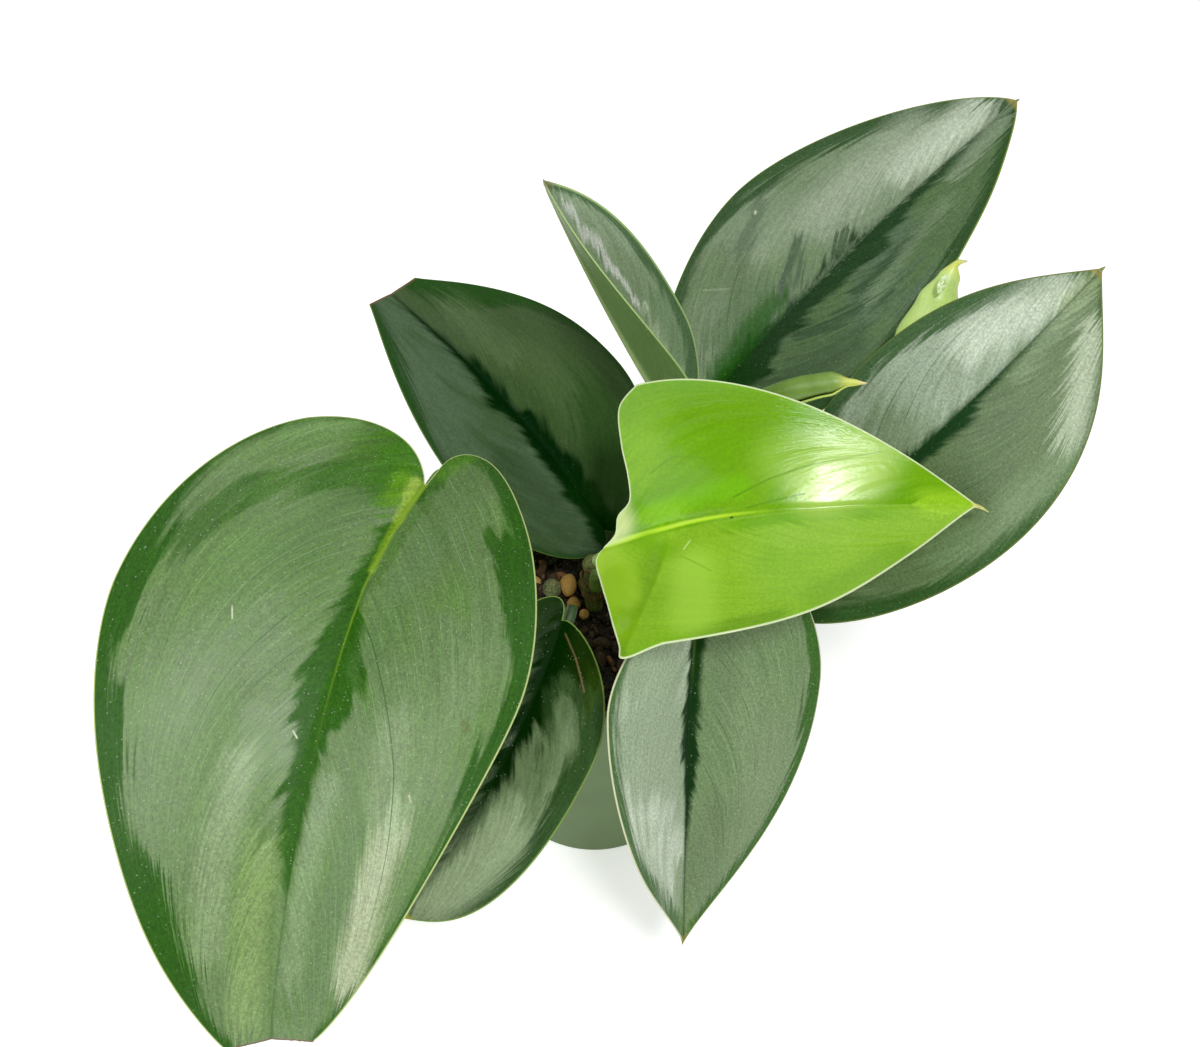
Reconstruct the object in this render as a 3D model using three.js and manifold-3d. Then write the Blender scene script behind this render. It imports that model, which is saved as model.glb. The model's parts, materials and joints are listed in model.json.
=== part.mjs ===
// Potted moonlight scindapsus: a nursery pot of bark mix with two short vines, eight leaves,
// a furled new leaf and a young shoot. Millimetres, +Z up, origin in the middle of the pot's
// underside, -Y toward the front. Every leaf is one thin blade on its own stalk.
import * as THREE from 'three';
import { mergeVertices } from 'three/addons/utils/BufferGeometryUtils.js';
import Module from 'manifold-3d';

const wasm = await Module();
wasm.setup();

// Driving dimensions
const GAP = 0.3;
const POT_HEIGHT = 92;
const POT_TOP_RADIUS = 45;
const POT_BASE_RADIUS = 33;
const POT_WALL = 1.4;
const POT_FLOOR = 2;
const LIP_WIDTH = 0.8;
const LIP_HEIGHT = 5;
const DRAIN_HOLES = 8;
const DRAIN_RADIUS = 3.5;
const DRAIN_RING = 24;
const POT_SIDES = 56;
const SOIL_TOP = 80;
const STEM_SOCKET_DEPTH = 30;
const BLADE_THICKNESS = 0.8;
const KEEL_THICKNESS = 1.1;
const BLADE_ROWS = 11;
const BLADE_COLUMNS = 4;
const STALK_RADIUS = 1.6;
const STALK_BASE_RADIUS = 2.4;
const KNEE_RADIUS = 2;

const deg = THREE.MathUtils.degToRad;
const vec = (x, y, z) => new THREE.Vector3(x, y, z);

// Colours read from the photograph
const material = (color, roughness) =>
  new THREE.MeshStandardMaterial({ color, roughness, metalness: 0 });
const LEAF = material(0x3f5c41, 0.45);
const LIME_LEAF = material(0x86b82c, 0.3);
const STALK = material(0x6f9440, 0.5);
const SHOOT = material(0x9dbb62, 0.5);
const STEM = material(0x6b7038, 0.7);
const SOIL = material(0x2b2119, 0.95);
const POT = material(0x6a7f54, 0.6);

// Solids and geometries
function toGeometry(solid) {
  const mesh = solid.getMesh();
  const geometry = new THREE.BufferGeometry();
  geometry.setAttribute('position', new THREE.BufferAttribute(mesh.vertProperties, 3));
  geometry.setIndex(new THREE.BufferAttribute(mesh.triVerts, 1));
  return geometry;
}

function toSolid(geometry) {
  const bare = geometry.clone();
  bare.deleteAttribute('normal');
  bare.deleteAttribute('uv');
  const merged = mergeVertices(bare, 1e-4);
  return new wasm.Manifold(new wasm.Mesh({
    numProp: 3,
    vertProperties: new Float32Array(merged.attributes.position.array),
    triVerts: new Uint32Array(merged.index.array),
  }));
}

function fromLists(points, triangles) {
  const geometry = new THREE.BufferGeometry();
  const flat = points.flatMap((p) => p.toArray());
  geometry.setAttribute('position', new THREE.Float32BufferAttribute(flat, 3));
  geometry.setIndex(triangles.flat());
  return geometry;
}

// A round solid turned from a radius and height profile that starts and ends on the axis
function turned(profile, sides) {
  const points = profile.map(([radius, height]) => new THREE.Vector2(radius, height));
  return new THREE.LatheGeometry(points, sides).rotateX(Math.PI / 2);
}

// A closed tube along a curve whose radius changes along its length. A flattened one has its
// thin side toward the direction faces.
function taperedTube(curve, radiusAt, sides, steps, { faces = null, flatness = 1 } = {}) {
  const frames = curve.computeFrenetFrames(steps, false);
  const points = [curve.getPointAt(0)];
  const triangles = [];
  for (let i = 0; i <= steps; i += 1) {
    const t = i / steps;
    const centre = curve.getPointAt(t);
    const wide = faces ? frames.tangents[i].clone().cross(faces).normalize() : frames.normals[i];
    const thin = faces ? frames.tangents[i].clone().cross(wide) : frames.binormals[i];
    for (let j = 0; j < sides; j += 1) {
      const angle = (2 * Math.PI * j) / sides;
      const depth = i === 0 || radiusAt(t) < 2 ? 1 : flatness;
      points.push(centre.clone()
        .addScaledVector(wide, radiusAt(t) * Math.cos(angle))
        .addScaledVector(thin, radiusAt(t) * depth * Math.sin(angle)));
    }
  }
  points.push(curve.getPointAt(1));
  const ring = (i, j) => 1 + i * sides + (j % sides);
  for (let j = 0; j < sides; j += 1) {
    triangles.push([0, ring(0, j + 1), ring(0, j)]);
    triangles.push([points.length - 1, ring(steps, j), ring(steps, j + 1)]);
    for (let i = 0; i < steps; i += 1) {
      triangles.push([ring(i, j), ring(i, j + 1), ring(i + 1, j + 1)]);
      triangles.push([ring(i, j), ring(i + 1, j + 1), ring(i + 1, j)]);
    }
  }
  return fromLists(points, triangles);
}

// Leaves. Angles are in degrees. yaw is the heading of the midrib (0 to the right, -90 to the
// front) and sweep turns it toward the tip; pitch and roll run from the base to the tip. half,
// lobe and fullness give the left and the right half: half-width, how far the lobe reaches
// behind the stalk, and how square the base is. cup lifts both halves, curl bends their edges.
// cut is the half-width of a tip that was cut straight, slant how far the left end of the cut lies
// beyond its middle. baseEdge replaces the lobes of a leaf whose base is nearly straight.
const LEAVES = {
  great: {
    base: vec(-48.7, -4.7, 150.2), yaw: -114, sweep: 18, pitch: [0, -62], roll: [-7, -6],
    length: 167, half: [54, 63], widest: 0.35, lobe: [32, 23], fullness: [-0.19, 1],
    tipFullness: 0.24, tipAngle: 42, cup: 13, curl: -8, cut: 12, slant: -2,
  },
  upper_left: {
    base: vec(4.2, 26, 99.8), yaw: 144, sweep: 8, pitch: [48, 29], roll: [-7, -2],
    length: 104, half: [37, 41], widest: 0.37, lobe: [10, 10], fullness: [0.53, 0.55],
    tipFullness: 0.55, tipAngle: 36, cup: 10, curl: -5, cut: 10, slant: 2,
  },
  folded: {
    base: vec(26.5, 30, 142.9), yaw: 163, sweep: -11, pitch: [58, 63], roll: [12, -10],
    length: 88, half: [24, 19], widest: 0.35, lobe: [7, 7], fullness: [0.57, 0.57],
    tipFullness: 0.62, tipAngle: 54, cup: 51, curl: 4, cut: 0,
  },
  lime: {
    base: vec(2.9, -33.5, 153.4), yaw: -3, sweep: 9, pitch: [24, -9], roll: [17, 29],
    length: 104, half: [42, 40], widest: 0.17,
    baseEdge: [
      [[0, 0], [6, 6], [10, 15], [10.5, 27], [12, 37], [17.7, 42]],
      [[0, 0], [-2, 5], [0.5, 15], [3, 24], [6, 37], [8.5, 41.5], [17.7, 40]],
    ],
    tipFullness: 0.5, tipAngle: 32, cup: 14, curl: 10, cut: 0,
  },
  upper_right: {
    base: vec(35.4, 55.1, 129.2), yaw: 26, sweep: -3, pitch: [44, 35], roll: [15, 14],
    length: 136, half: [42, 40], widest: 0.4, lobe: [15, 14], fullness: [0.57, 0.55],
    tipFullness: 0.26, tipAngle: 58, cup: 14, curl: -6, cut: 0,
  },
  right: {
    base: vec(57.7, -8.3, 118.6), yaw: 6, sweep: 16, pitch: [49, 50], roll: [21, 29],
    length: 126, half: [29, 38], widest: 0.46, lobe: [13, 21], fullness: [0.58, 0.83],
    tipFullness: 0.53, tipAngle: 42, cup: 7, curl: -8, cut: 0,
  },
  front: {
    base: vec(29.9, -37.8, 143.2), yaw: -97, sweep: 8, pitch: [-56, -58], roll: [-38, -41],
    length: 109, half: [40, 37], widest: 0.29, lobe: [18, 2], fullness: [1.0, 0.4],
    tipFullness: 0.53, tipAngle: 35, cup: 19, curl: -8, cut: 0,
  },
  lower_front: {
    base: vec(-8.9, -33.6, 123.2), yaw: -108, sweep: -33, pitch: [-28, -38], roll: [6, -6],
    length: 97, half: [25, 26], widest: 0.36, lobe: [1, 14], fullness: [0.58, 0],
    tipFullness: 0.77, tipAngle: 55, cup: 8, curl: -8, cut: 0,
  },
};
const SHOULDER = 0.55;
const TIP_ARM = 0.25;
const MIDRIB_STEPS = 120;
const ROW_SPREAD = 1.15;

const mix = ([from, to], t) => from + (to - from) * t;

// The local frame on the midrib, at a distance x from the stalk
function midribFrame(leaf, x) {
  const t = THREE.MathUtils.clamp(x / leaf.length, 0, 1);
  const yaw = deg(leaf.yaw + leaf.sweep * t);
  const pitch = deg(mix(leaf.pitch, t));
  const roll = deg(mix(leaf.roll, t));
  const along = vec(Math.cos(pitch) * Math.cos(yaw), Math.cos(pitch) * Math.sin(yaw), Math.sin(pitch));
  const level = vec(-Math.sin(pitch) * Math.cos(yaw), -Math.sin(pitch) * Math.sin(yaw), Math.cos(pitch));
  const side = level.clone().cross(along);
  return {
    along,
    left: side.clone().multiplyScalar(Math.cos(roll)).addScaledVector(level, Math.sin(roll)),
    up: level.clone().multiplyScalar(Math.cos(roll)).addScaledVector(side, -Math.sin(roll)),
  };
}

// The place on the midrib at a distance x from the stalk, by summing short steps
function midribPoint(leaf, x) {
  const steps = Math.max(2, Math.ceil((MIDRIB_STEPS * Math.abs(x)) / leaf.length));
  const point = leaf.base.clone();
  for (let i = 0; i < steps; i += 1) {
    point.addScaledVector(midribFrame(leaf, (x * (i + 0.5)) / steps).along, x / steps);
  }
  return point;
}

// A point of the blade x along the midrib and d out to one side, and the way it faces
function bladePoint(leaf, x, d, side) {
  const frame = midribFrame(leaf, x);
  const width = leaf.half[side > 0 ? 0 : 1];
  const cup = deg(leaf.cup);
  const bend = deg(leaf.curl) / width;
  const angle = cup + bend * d;
  const out = (Math.sin(angle) - Math.sin(cup)) / bend;
  const rise = (Math.cos(cup) - Math.cos(angle)) / bend;
  const point = midribPoint(leaf, x)
    .addScaledVector(frame.left, side * out)
    .addScaledVector(frame.up, rise);
  const facing = frame.up.clone().multiplyScalar(Math.cos(angle))
    .addScaledVector(frame.left, -side * Math.sin(angle));
  return { point, facing: d === 0 ? frame.up : facing };
}

// One half of the flat outline: from the stalk around the lobe to the widest place, then on to the tip
function halfOutline(leaf, side) {
  const which = side > 0 ? 0 : 1;
  const width = leaf.half[which];
  const widest = leaf.widest * leaf.length;
  const rest = leaf.length - widest;
  const tipAngle = deg(leaf.tipAngle);
  const point = (x, y) => new THREE.Vector2(x, y);
  const end = leaf.length + side * (leaf.slant ?? 0);
  const base = leaf.baseEdge
    ? new THREE.SplineCurve(leaf.baseEdge[which].map(([x, y]) => point(x, y)))
    : new THREE.CubicBezierCurve(
      point(0, 0),
      point((-4 / 3) * leaf.lobe[which], 0.35 * leaf.fullness[which] * width),
      point(widest - SHOULDER * (widest + leaf.lobe[which]), width),
      point(widest, width));
  const tip = new THREE.CubicBezierCurve(
    point(widest, width),
    point(widest + leaf.tipFullness * rest, width),
    point(end - TIP_ARM * rest * Math.cos(tipAngle), leaf.cut + TIP_ARM * rest * Math.sin(tipAngle)),
    point(end, leaf.cut));
  return [...base.getPoints(BLADE_ROWS), ...tip.getPoints(BLADE_ROWS).slice(1)];
}

// A thin closed blade: the upper face, the same triangles below it, and the edge between them
function blade(leaf) {
  const outlines = { 1: halfOutline(leaf, 1), '-1': halfOutline(leaf, -1) };
  const rows = outlines[1].length;
  const upper = [];
  const lower = [];
  const index = new Map();
  const triangles = [];
  const place = (row, column) => {
    const single = row === 0 || (row === rows - 1 && leaf.cut === 0);
    const key = single ? `${row}` : `${row},${column}`;
    if (index.has(key)) return index.get(key);
    const side = column < 0 ? -1 : 1;
    const v = single ? 0 : Math.abs(column) / BLADE_COLUMNS;
    const edge = outlines[side][row];
    const spread = (row / (rows - 1)) ** ROW_SPREAD;
    const start = leaf.length * spread;
    const x = start + (edge.x - start) * v;
    const { point, facing } = bladePoint(leaf, x, Math.max(edge.y, 0) * v, side);
    const keel = column === 0 ? KEEL_THICKNESS * (1 - spread) : 0;
    index.set(key, upper.length);
    upper.push(point);
    lower.push(point.clone().addScaledVector(facing, -(BLADE_THICKNESS + keel)));
    return index.get(key);
  };
  for (let row = 0; row < rows - 1; row += 1) {
    for (let column = -BLADE_COLUMNS; column < BLADE_COLUMNS; column += 1) {
      const [a, b] = [place(row, column), place(row + 1, column)];
      const [c, d] = [place(row + 1, column + 1), place(row, column + 1)];
      for (const triangle of [[a, c, b], [a, d, c]]) {
        if (new Set(triangle).size === 3) triangles.push(triangle);
      }
    }
  }
  const count = upper.length;
  const edges = new Map();
  for (const [a, b, c] of triangles) {
    for (const [from, to] of [[a, b], [b, c], [c, a]]) {
      if (edges.has(`${to},${from}`)) edges.delete(`${to},${from}`);
      else edges.set(`${from},${to}`, [from, to]);
    }
  }
  const solid = triangles.map(([a, b, c]) => [a, c, b]);
  solid.push(...triangles.map(([a, b, c]) => [a + count, b + count, c + count]));
  for (const [from, to] of edges.values()) {
    solid.push([from, to, to + count], [from, to + count, from + count]);
  }
  return fromLists([...upper, ...lower], solid);
}

// Vines: short upright stems with a swollen ring at each node
const VINE_RADIUS = 3.2;
const VINE_FOOT = SOIL_TOP - STEM_SOCKET_DEPTH + 1;
const NODE_SWELLING = 0.6;
const NODE_SPREAD = 1.6;
const VINES = {
  left: { foot: vec(0, 11, VINE_FOOT), top: vec(0, 11, 102.5), nodes: [86, 92, 99] },
  right: { foot: vec(24, 6, VINE_FOOT), top: vec(24, 6, 114), nodes: [86, 94, 101] },
  front: { foot: vec(-14, -14, VINE_FOOT), top: vec(-14, -14, 98), nodes: [88] },
};

// Stalks: each starts beside its vine at a node and bends at the knee under its blade. node is the
// height where it leaves the vine, out the way it leaves in degrees, via the places that it passes
// and knee how far the bend lies along and above the blade's base.
const STALKS = {
  great: {
    vine: 'front', node: 86, out: 165, knee: [-9, -4],
    via: [vec(-24, -12, 102), vec(-30, -10, 122), vec(-37, -5, 139), vec(-43, 2, 147)],
  },
  upper_left: { vine: 'left', node: 86, out: 75, knee: [-2, -6], via: [] },
  folded: { vine: 'right', node: 98, out: 95, knee: [-5, -5], via: [vec(24, 18, 122)] },
  lime: { vine: 'left', node: 95, out: -80, knee: [-4, -6], via: [vec(7, -6, 112), vec(6, -22, 132)] },
  upper_right: { vine: 'right', node: 84, out: 70, knee: [-6, -6], via: [vec(32, 26, 106)] },
  right: { vine: 'right', node: 88, out: -10, knee: [-6, -6], via: [vec(42, 1, 106)] },
  front: { vine: 'right', node: 104, out: -90, knee: [-5, -8], via: [vec(25, -12, 130)] },
  lower_front: { vine: 'front', node: 90, out: -90, knee: [-5, -6], via: [vec(-12, -26, 108)] },
};
const SHEATH_HEIGHT = 7;
const TAPER_END = 0.6;
const KNEE_START = 0.85;
const KNEE_DROP = 2.5;

function stalk(name) {
  const leaf = LEAVES[name];
  const { vine: vineName, node, out, via, knee } = STALKS[name];
  const axis = VINES[vineName].foot;
  const beside = VINE_RADIUS + STALK_BASE_RADIUS + 2 * GAP;
  const start = vec(axis.x + beside * Math.cos(deg(out)), axis.y + beside * Math.sin(deg(out)), node);
  const sheathTop = start.clone().add(vec(Math.cos(deg(out)), Math.sin(deg(out)), SHEATH_HEIGHT));
  const { along, up } = midribFrame(leaf, 0);
  const below = BLADE_THICKNESS + KEEL_THICKNESS + GAP;
  const end = leaf.base.clone().addScaledVector(along, KNEE_RADIUS).addScaledVector(up, -below);
  const under = end.clone().addScaledVector(up, -KNEE_DROP);
  const bend = leaf.base.clone().addScaledVector(along, knee[0]).addScaledVector(up, knee[1]);
  const route = [start, sheathTop, ...via, bend, under, end];
  const curve = new THREE.CatmullRomCurve3(route, false, 'centripetal');
  const radiusAt = (t) => {
    if (t > KNEE_START) {
      return THREE.MathUtils.lerp(STALK_RADIUS, KNEE_RADIUS, (t - KNEE_START) / (1 - KNEE_START));
    }
    return THREE.MathUtils.lerp(STALK_BASE_RADIUS, STALK_RADIUS, Math.min(1, t / TAPER_END));
  };
  return taperedTube(curve, radiusAt, 8, 18);
}

function vine({ foot, top, nodes }) {
  const curve = new THREE.LineCurve3(foot, top);
  const ring = (z, at) => NODE_SWELLING * Math.exp(-(((z - at) / NODE_SPREAD) ** 2));
  const swelling = (z) => nodes.reduce((sum, at) => sum + ring(z, at), 0);
  return taperedTube(curve, (t) => VINE_RADIUS + swelling(curve.getPointAt(t).z), 10, 30);
}

// The furled leaf is a wide roll with a hooked tip, the spear a slim one. radius is the half-width
// at each place of the path and flatness the depth of the roll over its width.
const SHOOTS = {
  furled_leaf: {
    path: [
      vec(25.8, 6, 114.7), vec(26.8, 6.4, 121), vec(45, 15, 135), vec(70, 22, 147),
      vec(88, 25, 155), vec(95.5, 26, 166), vec(97.5, 28.5, 177), vec(100.5, 33, 187),
      vec(104, 37, 193.5), vec(107.5, 40, 196.5),
    ],
    radius: [1.5, 1.5, 1.7, 1.9, 2.6, 8, 9, 6, 2.6, 0.5],
    flatness: 0.55,
  },
  spear: {
    path: [
      vec(22.2, 6, 114.7), vec(22.2, 6, 120), vec(32, 8, 145), vec(44, 6, 168), vec(56, 2, 177.5),
      vec(68, -1, 183.5), vec(76, -3, 186.5),
    ],
    radius: [1.5, 1.5, 1.8, 2.8, 3.4, 2.4, 0.5],
    flatness: 0.8,
  },
};
const ROLL_FACES = vec(0, -1, 1).normalize();

function shoot({ path, radius, flatness }) {
  const curve = new THREE.CatmullRomCurve3(path, false, 'centripetal');
  const lengths = curve.getLengths(200);
  const places = path.map((_, i) => lengths[Math.round((200 * i) / (path.length - 1))] / lengths[200]);
  const radiusAt = (t) => {
    const i = Math.min(places.findIndex((place, k) => k > 0 && t <= place + 1e-9), places.length - 1);
    const within = (t - places[i - 1]) / (places[i] - places[i - 1]);
    return THREE.MathUtils.lerp(radius[i - 1], radius[i], THREE.MathUtils.smoothstep(within, 0, 1));
  };
  return taperedTube(curve, radiusAt, 12, 34, { faces: ROLL_FACES, flatness });
}

// The pot is a thin tapered cup with a lip and drain holes round a flat solid middle
function wallRadius(height) {
  return THREE.MathUtils.lerp(POT_BASE_RADIUS, POT_TOP_RADIUS - LIP_WIDTH, height / POT_HEIGHT);
}

function pot() {
  const lipFoot = POT_HEIGHT - LIP_HEIGHT;
  const inside = wallRadius(POT_HEIGHT) - POT_WALL;
  const outside = toSolid(turned([
    [0, 0], [POT_BASE_RADIUS - 1, 0], [POT_BASE_RADIUS, 1.5],
    [wallRadius(lipFoot - 2), lipFoot - 2], [POT_TOP_RADIUS - 0.3, lipFoot],
    [POT_TOP_RADIUS, POT_HEIGHT - 1], [POT_TOP_RADIUS - 0.5, POT_HEIGHT], [0, POT_HEIGHT],
  ], POT_SIDES));
  const hollow = toSolid(turned([
    [0, POT_FLOOR], [wallRadius(POT_FLOOR) - POT_WALL, POT_FLOOR],
    [inside, POT_HEIGHT], [inside, POT_HEIGHT + 1], [0, POT_HEIGHT + 1],
  ], POT_SIDES));
  let solid = outside.subtract(hollow);
  for (let i = 0; i < DRAIN_HOLES; i += 1) {
    const angle = (2 * Math.PI * i) / DRAIN_HOLES;
    const hole = new THREE.CylinderGeometry(DRAIN_RADIUS, DRAIN_RADIUS, 3 * POT_FLOOR, 16)
      .rotateX(Math.PI / 2)
      .translate(DRAIN_RING * Math.cos(angle), DRAIN_RING * Math.sin(angle), 0);
    solid = solid.subtract(toSolid(hole));
  }
  return toGeometry(solid);
}

// The mix fills the pot, with chunks of bark at its surface and plain holes for what grows in it
const CHUNKS = 34;
const PEBBLES = [
  { at: vec(-8, 16.5, SOIL_TOP + 1.5), size: [3, 3.8, 2.8] },
  { at: vec(-2.6, 5.6, SOIL_TOP + 1.2), size: [2, 2, 2] },
  { at: vec(-6, 9, SOIL_TOP + 1), size: [1.6, 1.4, 1.3] },
];

function soil(holes) {
  const inner = (height) => wallRadius(height) - POT_WALL - GAP;
  const bottom = POT_FLOOR + GAP;
  let solid = toSolid(turned([
    [0, bottom], [inner(bottom), bottom], [inner(SOIL_TOP - 1), SOIL_TOP - 1],
    [inner(SOIL_TOP) - 1.5, SOIL_TOP], [0, SOIL_TOP],
  ], 40));
  const golden = Math.PI * (3 - Math.sqrt(5));
  for (let i = 0; i < CHUNKS; i += 1) {
    const reach = (inner(SOIL_TOP) - 6) * Math.sqrt((i + 0.5) / CHUNKS);
    const chunk = new THREE.DodecahedronGeometry(2.2 + 1.3 * Math.abs(Math.sin(7 * i)))
      .scale(1.3, 0.8, 0.7)
      .rotateZ(2.3 * i)
      .translate(reach * Math.cos(golden * i), reach * Math.sin(golden * i), SOIL_TOP - 0.4);
    solid = solid.add(toSolid(chunk));
  }
  for (const { at, size } of PEBBLES) {
    const pebble = new THREE.DodecahedronGeometry(1).scale(...size).translate(at.x, at.y, at.z);
    solid = solid.add(toSolid(pebble));
  }
  for (const hole of holes) solid = solid.subtract(toSolid(hole));
  return toGeometry(solid);
}

// A plain round hole for a stem, open at the top
function socket({ x, y }) {
  const radius = VINE_RADIUS + GAP;
  const height = 2 * STEM_SOCKET_DEPTH;
  return new THREE.CylinderGeometry(radius, radius, height, 20)
    .rotateX(Math.PI / 2)
    .translate(x, y, SOIL_TOP - STEM_SOCKET_DEPTH + height / 2);
}

const plant = new THREE.Group();
const add = (name, geometry, look) => {
  const mesh = new THREE.Mesh(geometry, look);
  mesh.name = name;
  plant.add(mesh);
};

add('pot', pot(), POT);
add('soil', soil(Object.values(VINES).map(({ foot }) => socket(foot))), SOIL);
for (const [name, shape] of Object.entries(VINES)) add(`vine_${name}`, vine(shape), STEM);
for (const name of Object.keys(LEAVES)) {
  add(`stalk_${name}`, stalk(name), STALK);
  add(`leaf_${name}`, blade(LEAVES[name]), name === 'lime' ? LIME_LEAF : LEAF);
}
for (const [name, shape] of Object.entries(SHOOTS)) add(name, shoot(shape), SHOOT);

export default plant;
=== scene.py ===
import json
import math

import bmesh
import bpy
import numpy as np
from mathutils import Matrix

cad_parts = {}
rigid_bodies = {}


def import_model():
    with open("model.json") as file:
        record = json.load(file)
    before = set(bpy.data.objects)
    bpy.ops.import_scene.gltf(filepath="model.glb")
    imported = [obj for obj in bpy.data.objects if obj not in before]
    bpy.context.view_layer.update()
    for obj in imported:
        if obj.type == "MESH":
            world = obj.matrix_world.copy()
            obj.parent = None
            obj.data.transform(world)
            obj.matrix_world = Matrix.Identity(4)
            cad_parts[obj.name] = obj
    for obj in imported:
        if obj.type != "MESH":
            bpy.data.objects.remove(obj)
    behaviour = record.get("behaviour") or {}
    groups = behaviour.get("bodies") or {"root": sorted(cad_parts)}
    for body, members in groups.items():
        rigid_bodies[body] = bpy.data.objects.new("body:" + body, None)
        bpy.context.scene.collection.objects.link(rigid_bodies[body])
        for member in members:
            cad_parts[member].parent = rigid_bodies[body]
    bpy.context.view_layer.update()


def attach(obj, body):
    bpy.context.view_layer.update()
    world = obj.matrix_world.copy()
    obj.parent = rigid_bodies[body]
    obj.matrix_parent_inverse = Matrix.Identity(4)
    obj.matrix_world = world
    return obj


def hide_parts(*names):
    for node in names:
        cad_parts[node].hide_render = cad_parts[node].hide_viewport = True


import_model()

MM = 0.001

# Pot and mix, in millimetres
POT_HEIGHT = 92
POT_TOP_RADIUS = 45
POT_BASE_RADIUS = 33
POT_WALL = 1.4
POT_FLOOR = 2
LIP_WIDTH = 0.8
LIP_HEIGHT = 5
DRAIN_HOLES = 8
DRAIN_RADIUS = 3.5
DRAIN_RING = 24
SOIL_TOP = 80

# Leaves, stalks and vines, in millimetres
BLADE_THICKNESS = 0.8
KEEL_THICKNESS = 1.1
GAP = 0.3
STALK_RADIUS = 1.6
STALK_BASE_RADIUS = 2.4
KNEE_RADIUS = 2
KNEE_RISE = 2.5
SHEATH_HEIGHT = 7
VINE_RADIUS = 3.2
VINE_FOOT = 51
VINE_TOP_ROUNDING = 1.5

# A stem is slimmer by STEM_SLIMMER between its nodes. It swells at each, with a scar just above.
STEM_SLIMMER = 0.2
NODE_SWELLING = 0.6
NODE_REACH = 1.6
SCAR_HEIGHT = 0.25
SCAR_OFFSET = 0.8

# Where a stalk's taper ends and its knee starts, as shares of its length; the depth of the channel
# along it as a share of its radius, and that channel's half-width in radians
TAPER_END = 0.6
KNEE_START = 0.85
STALK_GROOVE = 0.16
CHANNEL_WIDTH = 0.45

# Fineness of the meshes
BLADE_ROWS = 150
BLADE_COLUMNS = 40
MIDRIB_STEPS = 400
STALK_STEPS = 70
VINE_STEPS = 120

# Leaf shapes. Angles are in degrees. yaw is the heading of the midrib (0 to the right, -90 to the
# front) and sweep turns it toward the tip; pitch and roll run from the base to the tip. half, lobe
# and fullness give the left and the right half: half-width, how far the lobe reaches behind the
# stalk, and how square the base is. widest is the widest place as a share of the length.
# tip_fullness is how long the edge stays wide toward the tip, for both halves or for each, and
# tip_angle the angle at which it meets the tip. cup lifts both halves, curl bends their edges.
# cut is the half-width of a tip that was cut straight, slant how far the cut's left end lies beyond
# its middle. base_edge replaces the lobes of a leaf whose base is nearly straight.
LEAVES = {
    "great": dict(
        base=(-48.7, -4.7, 150.2), yaw=-114, sweep=18, pitch=(0, -62), roll=(-7, -6),
        length=167, half=(54, 63), widest=0.35, lobe=(32, 24.6), fullness=(-0.19, 1),
        tip_fullness=0.24, tip_angle=42, cup=13, curl=-8, cut=12, slant=-2),
    "upper_left": dict(
        base=(4.2, 26, 99.8), yaw=144, sweep=8, pitch=(48, 29), roll=(-7, -2),
        length=104, half=(37, 41), widest=0.37, lobe=(10, 10), fullness=(0.53, 0.55),
        tip_fullness=0.55, tip_angle=36, cup=10, curl=-5, cut=10, slant=2),
    "folded": dict(
        base=(26.5, 30, 142.9), yaw=163, sweep=-11, pitch=(58, 63), roll=(12, -10),
        length=88, half=(24, 19), widest=0.35, lobe=(7, 7), fullness=(0.57, 0.57),
        tip_fullness=0.62, tip_angle=54, cup=51, curl=4, cut=0, slant=0),
    "lime": dict(
        base=(2.9, -33.5, 153.4), yaw=-3, sweep=9, pitch=(24, -9), roll=(17, 29),
        length=104, half=(42, 40), widest=0.17,
        base_edge=(
            ((0, 0), (4, 2.6), (5.6, 7.5), (9.6, 11), (10.6, 18), (10.6, 27), (12, 37), (17.7, 42)),
            ((0, 0), (-2, 5), (0.5, 15), (3, 24), (6, 37), (7.4, 42), (17.7, 40))),
        tip_fullness=(0.36, 0.5), tip_angle=32, cup=14, curl=10, cut=0, slant=0),
    "upper_right": dict(
        base=(35.4, 55.1, 129.2), yaw=26, sweep=-3, pitch=(44, 35), roll=(15, 14),
        length=136, half=(41.3, 40.4), widest=0.4, lobe=(15, 14), fullness=(0.57, 1.0),
        tip_fullness=0.31, tip_angle=58, cup=14, curl=-6, cut=0, slant=0),
    "right": dict(
        base=(57.7, -8.3, 118.6), yaw=6, sweep=16, pitch=(49, 50), roll=(21, 29),
        length=126, half=(30.4, 39.2), widest=0.46, lobe=(15, 20), fullness=(1.0, 0.62),
        tip_fullness=(0.56, 0.57), tip_angle=42, cup=7, curl=-8, cut=0, slant=0),
    "front": dict(
        base=(29.9, -37.8, 143.2), yaw=-97, sweep=8, pitch=(-56, -58), roll=(-38, -41),
        length=109, half=(40.8, 37), widest=0.29, lobe=(18, 2), fullness=(1.0, 0.4),
        tip_fullness=(0.56, 0.53), tip_angle=35, cup=19, curl=-8, cut=0, slant=0),
    "lower_front": dict(
        base=(-8.9, -33.6, 123.2), yaw=-108, sweep=-33, pitch=(-28, -38), roll=(6, -6),
        length=97, half=(25, 26), widest=0.36, lobe=(1, 14), fullness=(0.58, 0),
        tip_fullness=0.77, tip_angle=55, cup=8, curl=-8, cut=0, slant=0),
}

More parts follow.
